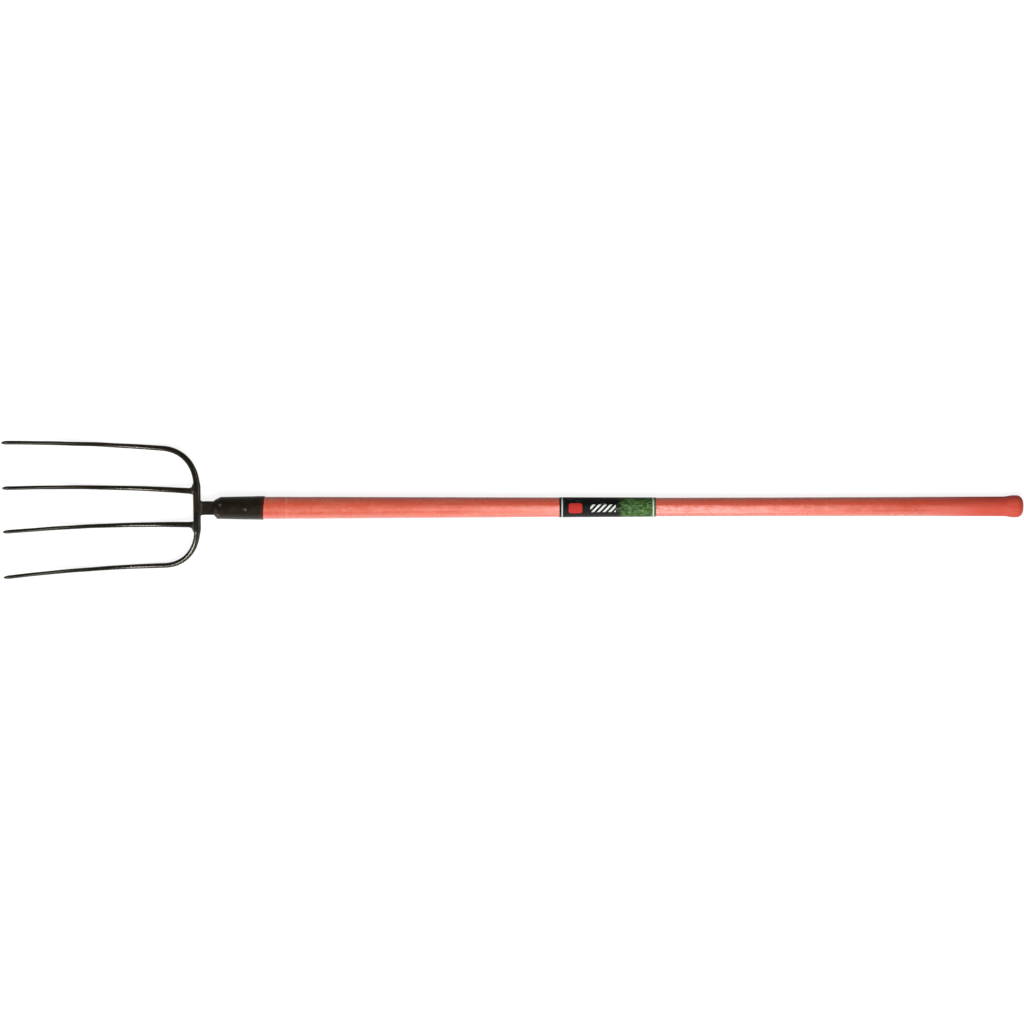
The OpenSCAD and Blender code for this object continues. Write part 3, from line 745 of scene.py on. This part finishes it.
def label_film(colours):
    """Printed film on its own wrap map: a dark ground, a streaked green field toward one end, a plain red
    bar, slanted pale stripes between them, and pale edge lines."""
    finish, tree, shader, where = new_finish("label_film")
    wrap = put(tree, "ShaderNodeUVMap", uv_map="wrap").outputs[0]
    around, along, _ = split(tree, wrap)
    film = placed_group(tree, lacquer_film(), {"Vector": where, "Peel Scale": 260.0, "Sag Scale": 45.0,
                                               "Smooth": 0.36, "Rough": 0.50})
    scuff = placed_group(tree, handling_scuffs(), {"Vector": where, "Streak": (90.0, 700.0, 700.0),
                                                   "Patch Scale": 24.0, "Share": 0.7})
    blades = stretched(tree, wrap, (46.0, 22.0, 1.0))
    blade = cloud(tree, blades, 1.0, 4.0, 0.65, 1.4)
    green = mixed(tree, ranged(tree, blade, 0.40, 0.66), colours.leaf_dark, colours.leaf)
    edge = sums(tree, "MULTIPLY_ADD", cloud(tree, blades, 0.5, 3.0), 0.22, along)
    from_top = off(tree, around, 0.5)
    bar_across = sums(tree, "SUBTRACT", from_top, BAR_WIDE)
    bar_along = sums(tree, "SUBTRACT", off(tree, along, BAR_AT), BAR_LONG)
    corner = put(tree, "ShaderNodeCombineXYZ", {
        0: sums(tree, "MAXIMUM", sums(tree, "MULTIPLY_ADD", bar_across, LABEL_AROUND, BAR_CORNER), 0.0),
        1: sums(tree, "MAXIMUM", sums(tree, "MULTIPLY_ADD", bar_along, LABEL_ALONG, BAR_CORNER), 0.0)})
    reach = put(tree, "ShaderNodeVectorMath", {0: corner.outputs[0]}, operation="LENGTH")
    bar = ranged(tree, reach.outputs["Value"], BAR_CORNER - 0.2 * MM, BAR_CORNER + 0.2 * MM, 1.0, 0.0)
    slant = sums(tree, "MULTIPLY_ADD", around, STRIPE_SLANT, along)
    stripe = sums(tree, "FRACT", times(tree, slant, STRIPE_COUNT))
    stripes = times(tree, window(tree, stripe, 0.48, 0.96, 0.02),
                    ranged(tree, from_top, STRIPES_WIDE - 0.002, STRIPES_WIDE + 0.002, 1.0, 0.0),
                    window(tree, along, STRIPES_FROM, STRIPES_TO, 0.002))
    rim = off(tree, off(tree, along, 0.5), EDGE_LINE_AT)
    base = layered(tree, colours.film,
                   (ranged(tree, edge, 0.70, 0.80), green),
                   (bar, colours.bar),
                   (stripes, colours.line),
                   (ranged(tree, rim, 0.005, 0.008, 0.9, 0.0), colours.line),
                   (times(tree, scuff["Mask"], 0.35), colours.line))
    bumped = put(tree, "ShaderNodeBump", {"Strength": 0.25, "Distance": 0.4 * MM, "Height": film["Height"]})
    dress(tree, shader, base, film["Roughness"], bumped.outputs[0], 0.08)
    return finish


# Pieces

# Wave of the slow stray of a tine
STRAY_WAVE = 210 * MM

# Set-back of the ferrule's rounded corners, from the cap's hole outward, along and back inside
CORNER_SETBACKS = np.array([0.3, 0.9, 1.5, 0.5, 0.4, 1.2, 0.5, 0.3]) * MM

# Peen marks on the cap's shoulder: millimetres back from the mouth, across, and the side that they are on
PEEN_MARKS = ((72.9, 7.4, 1), (73.8, -9.7, 1), (75.0, 9.0, -1), (76.5, -8.5, -1))

# Rows along each face of the label, and the columns of its overlap
LABEL_ROWS = 120
LAP_SIDES = 9


class FORK_OT_bow(Operator):
    """Build the crossbar with its two bends and outer tines"""

    bl_idname = "fork.bow"
    bl_label = "Bow"

    def execute(self, context):
        """An oval carried from tip to tip along the plan laid on the dish: the crossbar's section, a smooth
        narrowing past it, a power fall to the point's section, and a slow stray of the tines."""
        head, colours = context.scene.fork_head, context.scene.fork_finishes
        plan, half = bow_half(head)
        run = distances(plan)
        past = np.clip((run - half) / (run[-1] - half), 0, 1)
        fall = (1 - past) ** head.tine_taper
        swell = 1 - smooth(half, half + head.narrow_len, run)
        left = point_left(head, run, run[-1])
        half_w, half_h = (
            (point + (bend - point) * fall + (bar - bend) * swell) * left / 2
            for bar, bend, point in ((head.crossbar_w, head.bend_w, head.point_w),
                                     (head.crossbar_h, head.bend_h, head.point_h)))
        power = head.bar_flat + (head.tine_round - head.bar_flat) * smooth(0.0, 0.16, past)
        order = np.concatenate([np.arange(len(plan))[:0:-1], np.arange(len(plan))])
        sign = np.concatenate([-np.ones(len(plan) - 1), np.ones(len(plan))])
        signed_run = run[order] * sign
        stray = head.stray * wander(signed_run, 11, STRAY_WAVE) * smooth(0.05, 0.5, past[order])
        path = on_dish(head, plan[order, 0], plan[order, 1] * sign + stray)
        rings = bar_rings(path, swollen(head, half_w[order], signed_run, seed=21),
                          swollen(head, half_h[order], signed_run, seed=31), power[order], BOW_SIDES)
        made = piece("bow_forging", [skin(in_row(rings))], "tine_bow",
                     black_lacquer("forged_lacquer", colours))
        keep_on(made, "wear_and_glint", tip_wear(head, run, run[-1], BOW_SIDES)[order])
        return {"FINISHED"}


class FORK_OT_inner_tines(Operator):
    """Build the two inner tines"""

    bl_idname = "fork.inner_tines"
    bl_label = "Inner tines"

    def execute(self, context):
        """An oval carried along each tine's line with its slow stray, flat at the root and rounder ahead."""
        head, colours = context.scene.fork_head, context.scene.fork_finishes
        u = tine_places(head.tine_reach, head.point_len, 230)
        power = head.bar_flat + (head.tine_round - head.bar_flat) * smooth(0.0, 100 * MM, u)
        for name, node, side, seed in (("left_tine_forging", "inner_tine_left", 1, 41),
                                       ("right_tine_forging", "inner_tine_right", -1, 51)):
            path, half_w, half_h = inner_tine_bar(head, u)
            path[:, 1] += head.stray * wander(u, seed, STRAY_WAVE) * smooth(40 * MM, 160 * MM, u)
            rings = bar_rings(path, swollen(head, half_w, u, seed + 2), swollen(head, half_h, u, seed + 4),
                              power, TINE_SIDES)
            made = piece(name, [skin(in_row(on_side(rings, side)))], node,
                         black_lacquer("forged_lacquer", colours))
            keep_on(made, "wear_and_glint", tip_wear(head, u, head.tine_reach, TINE_SIDES))
        return {"FINISHED"}


class FORK_OT_welds(Operator):
    """Build the weld beads at the inner tines' roots and at the neck"""

    bl_idname = "fork.welds"
    bl_label = "Welds"

    def bead(self, head, bar, toe_at, leg, shift, power, seed):
        """Rings of a fillet around a bar from inside the crossbar to its toe: the bar's oval grown by a round
        hollow, sunk at the toe, and rippled by sine scallops around the bar that slow noise bends."""
        face = head.crossbar_w / 2
        steps = np.append(1 - np.cos(np.linspace(0, math.pi / 2, 26)), 1.1)
        u = np.concatenate([face * np.array([0.45, 0.75]), face + toe_at * steps])
        t = np.clip((u - face) / toe_at, 0, 1)
        fall = 1 - np.sqrt(1 - (1 - t) ** 2)
        grown = 0.15 * MM - 0.3 * MM * smooth(0.75, 1.0, t)
        spine, half_w, half_h = bar(head, u)
        path = spine + np.array([0.0, shift * leg, 0.0]) * fall[:, None]
        rings = bar_rings(path, half_w + grown + leg * fall, half_h + grown + head.weld_rise * fall, power,
                          WELD_SIDES, spine)
        angle = TURN * np.arange(WELD_SIDES)[None, :] / WELD_SIDES
        bent = 1.2 * wander(angle + 2.0 * t[:, None], seed, 2.6)
        ripple = np.abs(np.sin(7.5 * angle + bent + 1.4 * t[:, None])) - 0.5
        ripple = head.weld_ripple * ripple * np.sin(np.pi * np.clip(1.15 * t, 0, 1))[:, None]
        out = rings - path[:, None, :]
        return rings + ripple[..., None] * out / np.linalg.norm(out, axis=-1, keepdims=True)

    def execute(self, context):
        """A bead around each inner tine's root, larger on its outer side, and one around the neck."""
        head, colours = context.scene.fork_head, context.scene.fork_finishes
        finish = black_lacquer("forged_lacquer", colours)
        roots = [skin(in_row(on_side(self.bead(head, inner_tine_bar, head.root_weld_len, head.root_weld_leg,
                                               0.75, 0.80, seed), side)))
                 for side, seed in ((1, 61), (-1, 62))]
        piece("root_weld_beads", roots, "tine_welds", finish)
        neck = self.bead(head, neck_bar, head.neck_weld_len, head.neck_weld_leg, 0.0, 0.27, 63)
        piece("neck_weld_bead", [skin(in_row(neck))], "neck_weld", finish)
        return {"FINISHED"}


class FORK_OT_neck(Operator):
    """Build the flat forged neck and the tang inside the handle"""

    bl_idname = "fork.neck"
    bl_label = "Neck and tang"

    def execute(self, context):
        """A squared oval along the axis that turns round over a short step inside the cap and tapers to the
        tang's end. Outside the cap slow noise sways it, and seeded dents are taken off along its faces."""
        head, cap = context.scene.fork_head, context.scene.fork_ferrule
        colours = context.scene.fork_finishes
        flat_end = cap.cap_end_t - cap.ferrule_len
        step_end = flat_end + head.neck_step
        tang_end = cap.cap_len - cap.ferrule_len + head.tang_len
        start = CROSSBAR_AT + 0.3 * head.crossbar_w
        place = np.concatenate([np.linspace(start, flat_end, 90, endpoint=False),
                                np.linspace(flat_end, step_end, 8, endpoint=False),
                                np.linspace(step_end, tang_end, 60)])
        into = smooth(flat_end, step_end, place)
        taper = np.clip((place - flat_end) / (tang_end - flat_end), 0, 1)
        tang_r = (head.tang_root_d + (head.tang_tip_d - head.tang_root_d) * taper) / 2
        rough = 1 - smooth(-cap.ferrule_len - 3 * MM, -cap.ferrule_len, place)
        wide = (head.neck_w / 2) * (1 + 0.012 * rough * wander(place, 71, 16 * MM))
        half_w = wide + (tang_r - wide) * into
        half_h = head.neck_t / 2 + (tang_r - head.neck_t / 2) * into
        path = np.stack([place, 0.25 * MM * rough * wander(place, 72, 20 * MM), 0 * place], axis=-1)
        rings = bar_rings(path, half_w, half_h, 0.30 + 0.70 * into, NECK_SIDES)
        two_faces = rings[..., 1] + np.sign(rings[..., 2]) * 50 * MM
        marks = dents(rings[..., 0], two_faces, seed=73, count=90, size=head.hammer_size)
        marks = np.clip(marks, 0, 1.4) * rough[:, None]
        out = (rings - path[:, None, :]) / np.array([1.0, head.neck_w, head.neck_t])
        out /= np.linalg.norm(out, axis=-1, keepdims=True) + 1e-9
        rings -= head.hammer_depth * marks[..., None] * out
        piece("neck_forging", [skin(in_row(rings))], "tang",
              black_lacquer("rough_lacquer", colours))
        return {"FINISHED"}


class FORK_OT_ferrule(Operator):
    """Build the ferrule with its cap, seam, peen marks and rivet seats"""

    bl_idname = "fork.ferrule"
    bl_label = "Ferrule"

    def rounded(self, corners, setbacks):
        """A closed profile with each corner replaced by a short quadratic curve between points set back along
        its two legs, then filled so that no step is long."""
        corners = np.array(corners)
        befores, afters = np.roll(corners, 1, 0), np.roll(corners, -1, 0)
        t = np.linspace(0, 1, 9)[:, None]
        turns = []
        for here, before, after, back in zip(corners, befores, afters, setbacks):
            first = here + (before - here) * back / np.linalg.norm(before - here)
            second = here + (after - here) * back / np.linalg.norm(after - here)
            turns.append(first * (1 - t) ** 2 + 2 * here * t * (1 - t) + second * t ** 2)
        line = np.vstack(turns + [turns[0][:1]])
        run = distances(line)
        fine = np.union1d(run, np.arange(0, run[-1], 0.75 * MM))[:-1]
        return np.interp(fine, run, line[:, 0]), np.interp(fine, run, line[:, 1])

    def execute(self, context):
        """The rounded profile turned about the axis, raised in a bell along the seam, flattened around the
        rivet, raised in bells at the peen marks, and leaned along the axis at the shoulder and the mouth."""
        cap, colours = context.scene.fork_ferrule, context.scene.fork_finishes
        end, shoulder = -cap.ferrule_len, cap.cap_len - cap.ferrule_len
        inside = cap.cap_end_t - cap.ferrule_len
        shoulder_r, end_r = cap.shoulder_d / 2, cap.cap_end_d / 2
        corners = [(end, cap.hole_r), (end, end_r), (shoulder, shoulder_r), (0, MOUTH_R),
                   (0, MOUTH_R - cap.wall), (shoulder, shoulder_r - cap.wall), (inside, end_r),
                   (inside, cap.hole_r)]
        place, radius = self.rounded(corners, CORNER_SETBACKS)
        place, radius, angle = turned_rings(place, radius, FERRULE_SIDES)
        cone = shoulder_r + (MOUTH_R - shoulder_r) * (place - shoulder) / -shoulder
        slope = shoulder_r + (end_r - shoulder_r) * (shoulder - place) / cap.cap_len
        depth = 0.6 * cap.wall
        body = (radius > cone - depth) & (place > shoulder + 1 * MM)
        cap_face = (place <= shoulder + 3 * MM) & (radius > end_r - 1 * MM) & (radius > slope - depth)
        from_seam = (angle + TURN / 4 + TURN / 2) % TURN - TURN / 2
        seam = bell(from_seam * radius, cap.seam_w) * (0.75 + 0.25 * np.cos(TURN * place / (1.9 * MM)))
        radius = radius + np.where(body, cap.seam_rise * seam * smooth(0.0, 2.5 * MM, -place), 0)
        radius = radius * (1 + 0.0025 * np.where(body, np.sin(2 * angle + 0.6 + 9 * place), 0))
        across, above = radius * np.cos(angle), radius * np.sin(angle)
        head_r = cap.rivet_head_d / 2
        kept = smooth(head_r, head_r + cap.seat_rim, np.hypot(place + cap.rivet_setback, across))
        for up in (1, -1):
            seat = up * rivet_seat(cap)
            above = np.where(body & (above * up > 0), seat + (above - seat) * kept, above)
        pips = np.zeros_like(place)
        for back, side, up in PEEN_MARKS:
            reach = np.hypot(place + back * MM, across - side * MM)
            pips += bell(reach, cap.peen_r) * (cap_face | body) * (above * up > 0)
        above = above + np.sign(above) * cap.peen_rise * pips
        leaning = smooth(end, shoulder, place) * (1 - smooth(shoulder, shoulder + 25 * MM, place))
        leaning += 0.4 * smooth(-20 * MM, 0.0, place)
        shell = placed(place + cap.slant * across * leaning, across, above)
        made = piece("ferrule_shell", [skin(shell, "wrap")], "ferrule",
                     black_lacquer("ferrule_lacquer", colours))
        at_rim = radius > MOUTH_R - 1.2 * cap.wall
        # Rubbed steel on the peen marks and on the mouth's cut edge: partly wear, partly a painted highlight
        keep_on(made, "wear_and_glint", np.clip(pips + 0.5 * bell(place, 0.6 * MM) * at_rim, 0, 1))
        keep_on(made, "smear", bell(place, 4.0 * MM) * at_rim)
        return {"FINISHED"}


class FORK_OT_rivet(Operator):
    """Build the rivet with its two domed heads"""

    bl_idname = "fork.rivet"
    bl_label = "Rivet"

    def execute(self, context):
        """A profile turned about the upright axis: a sine and cosine dome on each seat and the shank between
        them, a little out of round, with tilted heads."""
        cap, colours = context.scene.fork_ferrule, context.scene.fork_finishes
        seat, head_r, shank_r = rivet_seat(cap), cap.rivet_head_d / 2, cap.rivet_d / 2
        sweep = np.linspace(0, math.pi / 2, 14)[1:]
        dome_r = head_r * np.sin(sweep) ** 0.92
        dome_h = seat + cap.rivet_head_h * (0.12 + 0.88 * np.cos(sweep))
        brim_r = 0.97 * dome_r[-1]
        radius = np.concatenate([dome_r, [brim_r, shank_r, shank_r, brim_r], dome_r[::-1]])
        height = np.concatenate([-dome_h, [-seat, -seat, seat, seat], dome_h[::-1]])
        angle = TURN * np.arange(RIVET_SIDES) / RIVET_SIDES
        out = radius[:, None] * (1 + 0.02 * np.sin(3 * angle + 0.7))
        tilted = height[:, None] + 0.03 * out * np.cos(angle) * (np.abs(height[:, None]) > seat)
        rings = placed(-cap.rivet_setback + out * np.cos(angle), out * np.sin(angle), tilted)
        made = piece("rivet_heads", [skin(rings)], "ferrule_rivet",
                     black_lacquer("rivet_lacquer", colours))
        # The bare crest of each dome is partly wear, partly a painted highlight
        crest_rub_and_glint = smooth(0.62 * head_r, 0.1 * head_r, radius)
        keep_on(made, "wear_and_glint", np.repeat(crest_rub_and_glint[:, None], RIVET_SIDES, axis=1))
        brim = smooth(0.70 * head_r, 0.95 * head_r, radius)
        keep_on(made, "smear", brim[:, None] * (0.6 - 0.4 * np.cos(angle)))
        return {"FINISHED"}


class FORK_OT_handle(Operator):
    """Build the turned handle with its knob"""

    bl_idname = "fork.handle"
    bl_label = "Handle"

    def execute(self, context):
        """A profile turned about the axis: straight tapers between the socket, the grip and the wrist, a
        smooth flare to the knob's land, a round end, and a slow unevenness between them."""
        size, cap = context.scene.fork_handle, context.scene.fork_ferrule
        colours = context.scene.fork_finishes
        shoulder = cap.cap_len - cap.ferrule_len
        land_end = HANDLE_OUT - size.knob_round
        land_start = land_end - size.knob_land
        flare_start = land_start - size.flare_len
        socket = cap.wall + size.seat_gap
        grip_r, wrist_r, knob_r = size.grip_d / 2, size.wrist_d / 2, size.knob_d / 2
        round_turn = np.linspace(0, math.pi / 2, 26)
        place = np.concatenate([np.linspace(shoulder + size.end_gap, flare_start, 430, endpoint=False),
                                np.linspace(flare_start, land_end, 40, endpoint=False),
                                land_end + size.knob_round * np.sin(round_turn)])
        corner_at = [shoulder, 0, size.grip_start, size.grip_start + size.grip_len, flare_start, HANDLE_OUT]
        corner_r = [cap.shoulder_d / 2 - socket, MOUTH_R - socket, grip_r, grip_r, wrist_r, wrist_r]
        radius = np.interp(place, corner_at, corner_r)
        radius += (knob_r - wrist_r) * smooth(flare_start, land_start, place)
        radius[-len(round_turn):] = knob_r - size.knob_round * (1 - np.cos(round_turn))
        inner = np.linspace(radius[-1], 0.4 * MM, 10)[1:]
        place = np.concatenate([place, HANDLE_OUT + 0.2 * MM * (1 - (inner / radius[-1]) ** 2)])
        radius = np.concatenate([radius, inner])
        place, radius, angle = turned_rings(place, radius, HANDLE_SIDES)
        free = smooth(1 * MM, 30 * MM, place) * (1 - smooth(land_start, HANDLE_OUT, place))
        sway = wander(place + 0.03 * np.sin(angle), 81, 160 * MM) + np.cos(2 * angle + 5 * place)
        radius = radius + size.uneven * free * sway
        made = piece("turned_handle", [skin(around_axis(place, radius, angle))], "handle",
                     red_lacquered_ash(colours))
        score = bell(place - size.score_at, size.score_w) * (0.55 + 0.45 * wander(angle, 82, 2.0))
        # A pale ring painted at the mouth stands for the highlight along the handle's edge there
        mouth_glint = bell(place - 0.4 * MM, 0.9 * MM)
        keep_on(made, "wear_and_glint", np.clip(0.8 * score + 0.7 * mouth_glint, 0, 1))
        keep_on(made, "dull", smooth(flare_start - size.dull_len, flare_start + 4 * MM, place))
        return {"FINISHED"}


class FORK_OT_label(Operator):
    """Wrap the label around the handle, its overlap underneath"""

    bl_idname = "fork.label"
    bl_label = "Label"

    def execute(self, context):
        """A sheet with an outer and an inner face turned about the axis on the handle's taper, raised at its
        overlap and rippled by slow noise that fades to its ends."""
        size, cap = context.scene.fork_handle, context.scene.fork_ferrule
        colours = context.scene.fork_finishes
        start_r = MOUTH_R - cap.wall - size.seat_gap
        reach = np.linspace(0, 1, LABEL_ROWS)
        out = np.concatenate([reach, reach[::-1]])
        lift = np.repeat([size.label_t, 0.0], LABEL_ROWS) + size.glue_t
        lift[[0, LABEL_ROWS - 1]] -= 0.35 * size.label_t
        place = size.label_start + size.label_len * out
        radius = start_r + (size.grip_d / 2 - start_r) * place / size.grip_start + lift
        place, radius, angle = turned_rings(place, radius, LABEL_SIDES, -TURN / 4)
        outer = (np.arange(2 * LABEL_ROWS) < LABEL_ROWS)[:, None]
        flap = (np.arange(LABEL_SIDES) < LAP_SIDES)[None, :] & outer
        ripple = 0.04 * MM * wander(place + 0.02 * angle, 91, 40 * MM) * np.sin(np.pi * out)[:, None] ** 0.5
        radius = radius + np.where(flap, size.lap_rise, 0) + np.where(outer, ripple, 0)
        made = piece("label_wrap", [skin(around_axis(place, radius, angle), "wrap")], "label",
                     label_film(colours))
        give_wrap(made, 2 * LABEL_ROWS, LABEL_SIDES, out)
        return {"FINISHED"}


# Stage

# The pieces that the light beside the tines keeps to
HEAD_PIECES = ("bow_forging", "left_tine_forging", "right_tine_forging", "root_weld_beads")

# Half the width over which gloss turns from the near white to the far one: metres of floor, share of sky
FLOOR_TURN = 60 * MM
SKY_TURN = 0.3
WHITE = (1.0, 1.0, 1.0, 1.0)


def soft_light(name, place, target, wide, tall, power):
    """A soft light of a width and a height that faces a point."""
    lamp = bpy.data.lights.new(name, "AREA")
    lamp.shape = "RECTANGLE"
    lamp.size, lamp.size_y = wide, tall
    lamp.energy = power
    holder = bpy.data.objects.new(name, lamp)
    holder.location = place
    holder.rotation_euler = (Vector(target) - Vector(place)).to_track_quat("-Z", "Y").to_euler()
    holder.visible_camera = False
    bpy.context.scene.collection.objects.link(holder)
    return holder


def seen_directly(tree, stage, across, turn):
    """How white the surroundings show: fully to the camera, and by a share to gloss and through glass that
    falls from the near side to the far side over a turn each way."""
    rays = put(tree, "ShaderNodeLightPath").outputs
    shown = sums(tree, "MAXIMUM", rays["Is Glossy Ray"], rays["Is Transmission Ray"])
    part = ranged(tree, across, -turn, turn, stage.near_share, stage.far_share)
    return sums(tree, "MAXIMUM", rays["Is Camera Ray"], times(tree, shown, part))


class FORK_OT_stage(Operator):
    """Lay the floor and set up the camera, the soft lights and the surroundings"""

    bl_idname = "fork.stage"
    bl_label = "Stage"

    def lay_floor(self, scene, stage):
        """A level sheet just under the fork, pale, with a share of white added where the picture sees it."""
        count = 13
        step = np.linspace(-stage.floor_half, stage.floor_half, count)
        across, along = np.meshgrid(step, step)
        points = np.stack([along.ravel(), across.ravel(), np.full(along.size, -stage.floor_drop)], axis=-1)
        corner = np.arange(count - 1)[:, None] * count + np.arange(count - 1)[None, :]
        faces = np.stack([corner, corner + count, corner + count + 1, corner + 1], axis=-1).reshape(-1, 4)
        mesh = bpy.data.meshes.new("floor")
        mesh.from_pydata(points.tolist(), [], faces.tolist())
        finish, tree, shader, where = new_finish("pale_floor")
        light = scene.fork_finishes.floor
        pale = mixed(tree, ranged(tree, cloud(tree, where, 3.0), 0.3, 0.7), [c * 0.99 for c in light], light)
        tree.links.new(pale, shader.inputs["Base Color"])
        shader.inputs["Roughness"].default_value = 0.9
        shader.inputs["Specular IOR Level"].default_value = 0.1
        shader.inputs["Emission Color"].default_value = WHITE
        seen = seen_directly(tree, stage, split(tree, where)[1], FLOOR_TURN)
        tree.links.new(times(tree, seen, stage.floor_lift), shader.inputs["Emission Strength"])
        mesh.materials.append(finish)
        floor = bpy.data.objects.new("floor", mesh)
        scene.collection.objects.link(floor)

    def hang_lights(self, stage):
        """A tall strip for gloss alone, a broad light that gloss doesn't show, one for the head's gloss."""
        key = soft_light("key_light", stage.key_at, stage.key_to, stage.key_wide, stage.key_tall,
                         stage.key_power)
        key.visible_diffuse = False
        fill = soft_light("fill_light", stage.fill_at, stage.fill_to, stage.fill_size, stage.fill_size,
                          stage.fill_power)
        fill.visible_glossy = False
        side = soft_light("side_light", stage.side_at, stage.side_to, stage.side_wide, stage.side_long,
                          stage.side_power)
        side.visible_diffuse = False
        lit = bpy.data.collections.new("side_lit")
        for name in HEAD_PIECES:
            lit.objects.link(bpy.data.objects[name])
        side.light_linking.receiver_collection = lit

    def surround(self, scene, stage):
        """White where it is seen, dimmed overhead for gloss, and a weak even light from all round."""
        scene.world = bpy.data.worlds.new("surroundings")
        scene.world.use_nodes = True
        tree = scene.world.node_tree
        back = tree.nodes["Background"]
        back.inputs["Color"].default_value = WHITE
        ways = split(tree, put(tree, "ShaderNodeTexCoord").outputs["Generated"])
        shown = ranged(tree, ways[2], 0.10, 0.70, 1.0, stage.overhead)
        seen = seen_directly(tree, stage, ways[1], SKY_TURN)
        unseen = sums(tree, "LESS_THAN", seen, 0.001)
        strength = sums(tree, "MULTIPLY_ADD", unseen, stage.ambient, times(tree, seen, shown))
        tree.links.new(strength, back.inputs["Strength"])
        scene.view_settings.view_transform = "Standard"

    def set_camera(self, scene, stage):
        """A camera at its distance from the aim, leaned by the tilt and turned by the roll."""
        lens = bpy.data.cameras.new("camera")
        lens.lens = stage.lens
        lens.clip_end = 100.0
        camera = bpy.data.objects.new("camera", lens)
        scene.collection.objects.link(camera)
        look = Vector((0, -math.sin(stage.tilt), -math.cos(stage.tilt)))
        up = Vector((0, math.cos(stage.tilt), -math.sin(stage.tilt)))
        right = Vector((1, 0, 0))
        right, up = (right * math.cos(stage.roll) + up * math.sin(stage.roll),
                     up * math.cos(stage.roll) - right * math.sin(stage.roll))
        turn = Matrix((right, up, -look)).transposed()
        camera.matrix_world = Matrix.Translation(Vector(stage.aim) - look * stage.distance) @ turn.to_4x4()
        scene.camera = camera

    def execute(self, context):
        scene, stage = context.scene, context.scene.fork_stage
        self.lay_floor(scene, stage)
        self.hang_lights(stage)
        self.surround(scene, stage)
        self.set_camera(scene, stage)
        return {"FINISHED"}


STEPS = (FORK_OT_bow, FORK_OT_inner_tines, FORK_OT_welds, FORK_OT_neck, FORK_OT_ferrule, FORK_OT_rivet,
         FORK_OT_handle, FORK_OT_label, FORK_OT_stage)


class FORK_PT_panel(Panel):
    """Lists the steps that build the fork"""

    bl_idname = "FORK_PT_panel"
    bl_label = "Manure fork"
    bl_space_type = "VIEW_3D"
    bl_region_type = "UI"
    bl_category = "Fork"

    def draw(self, context):
        for step in STEPS:
            self.layout.operator(step.bl_idname)


GROUPS = {"fork_head": ForkHeadSizes, "fork_ferrule": FerruleSizes, "fork_handle": HandleSizes,
          "fork_finishes": ForkFinishes, "fork_stage": StageSizes}


def register():
    for name, group in GROUPS.items():
        bpy.utils.register_class(group)
        setattr(bpy.types.Scene, name, PointerProperty(type=group))
    for made in (*STEPS, FORK_PT_panel):
        bpy.utils.register_class(made)


def unregister():
    for made in (FORK_PT_panel, *reversed(STEPS)):
        bpy.utils.unregister_class(made)
    for name, group in reversed(GROUPS.items()):
        delattr(bpy.types.Scene, name)
        bpy.utils.unregister_class(group)


def main():
    """Builds every piece and the stage in order."""
    register()
    for step in STEPS:
        family, name = step.bl_idname.split(".")
        getattr(getattr(bpy.ops, family), name)()


if __name__ == "__main__":
    main()
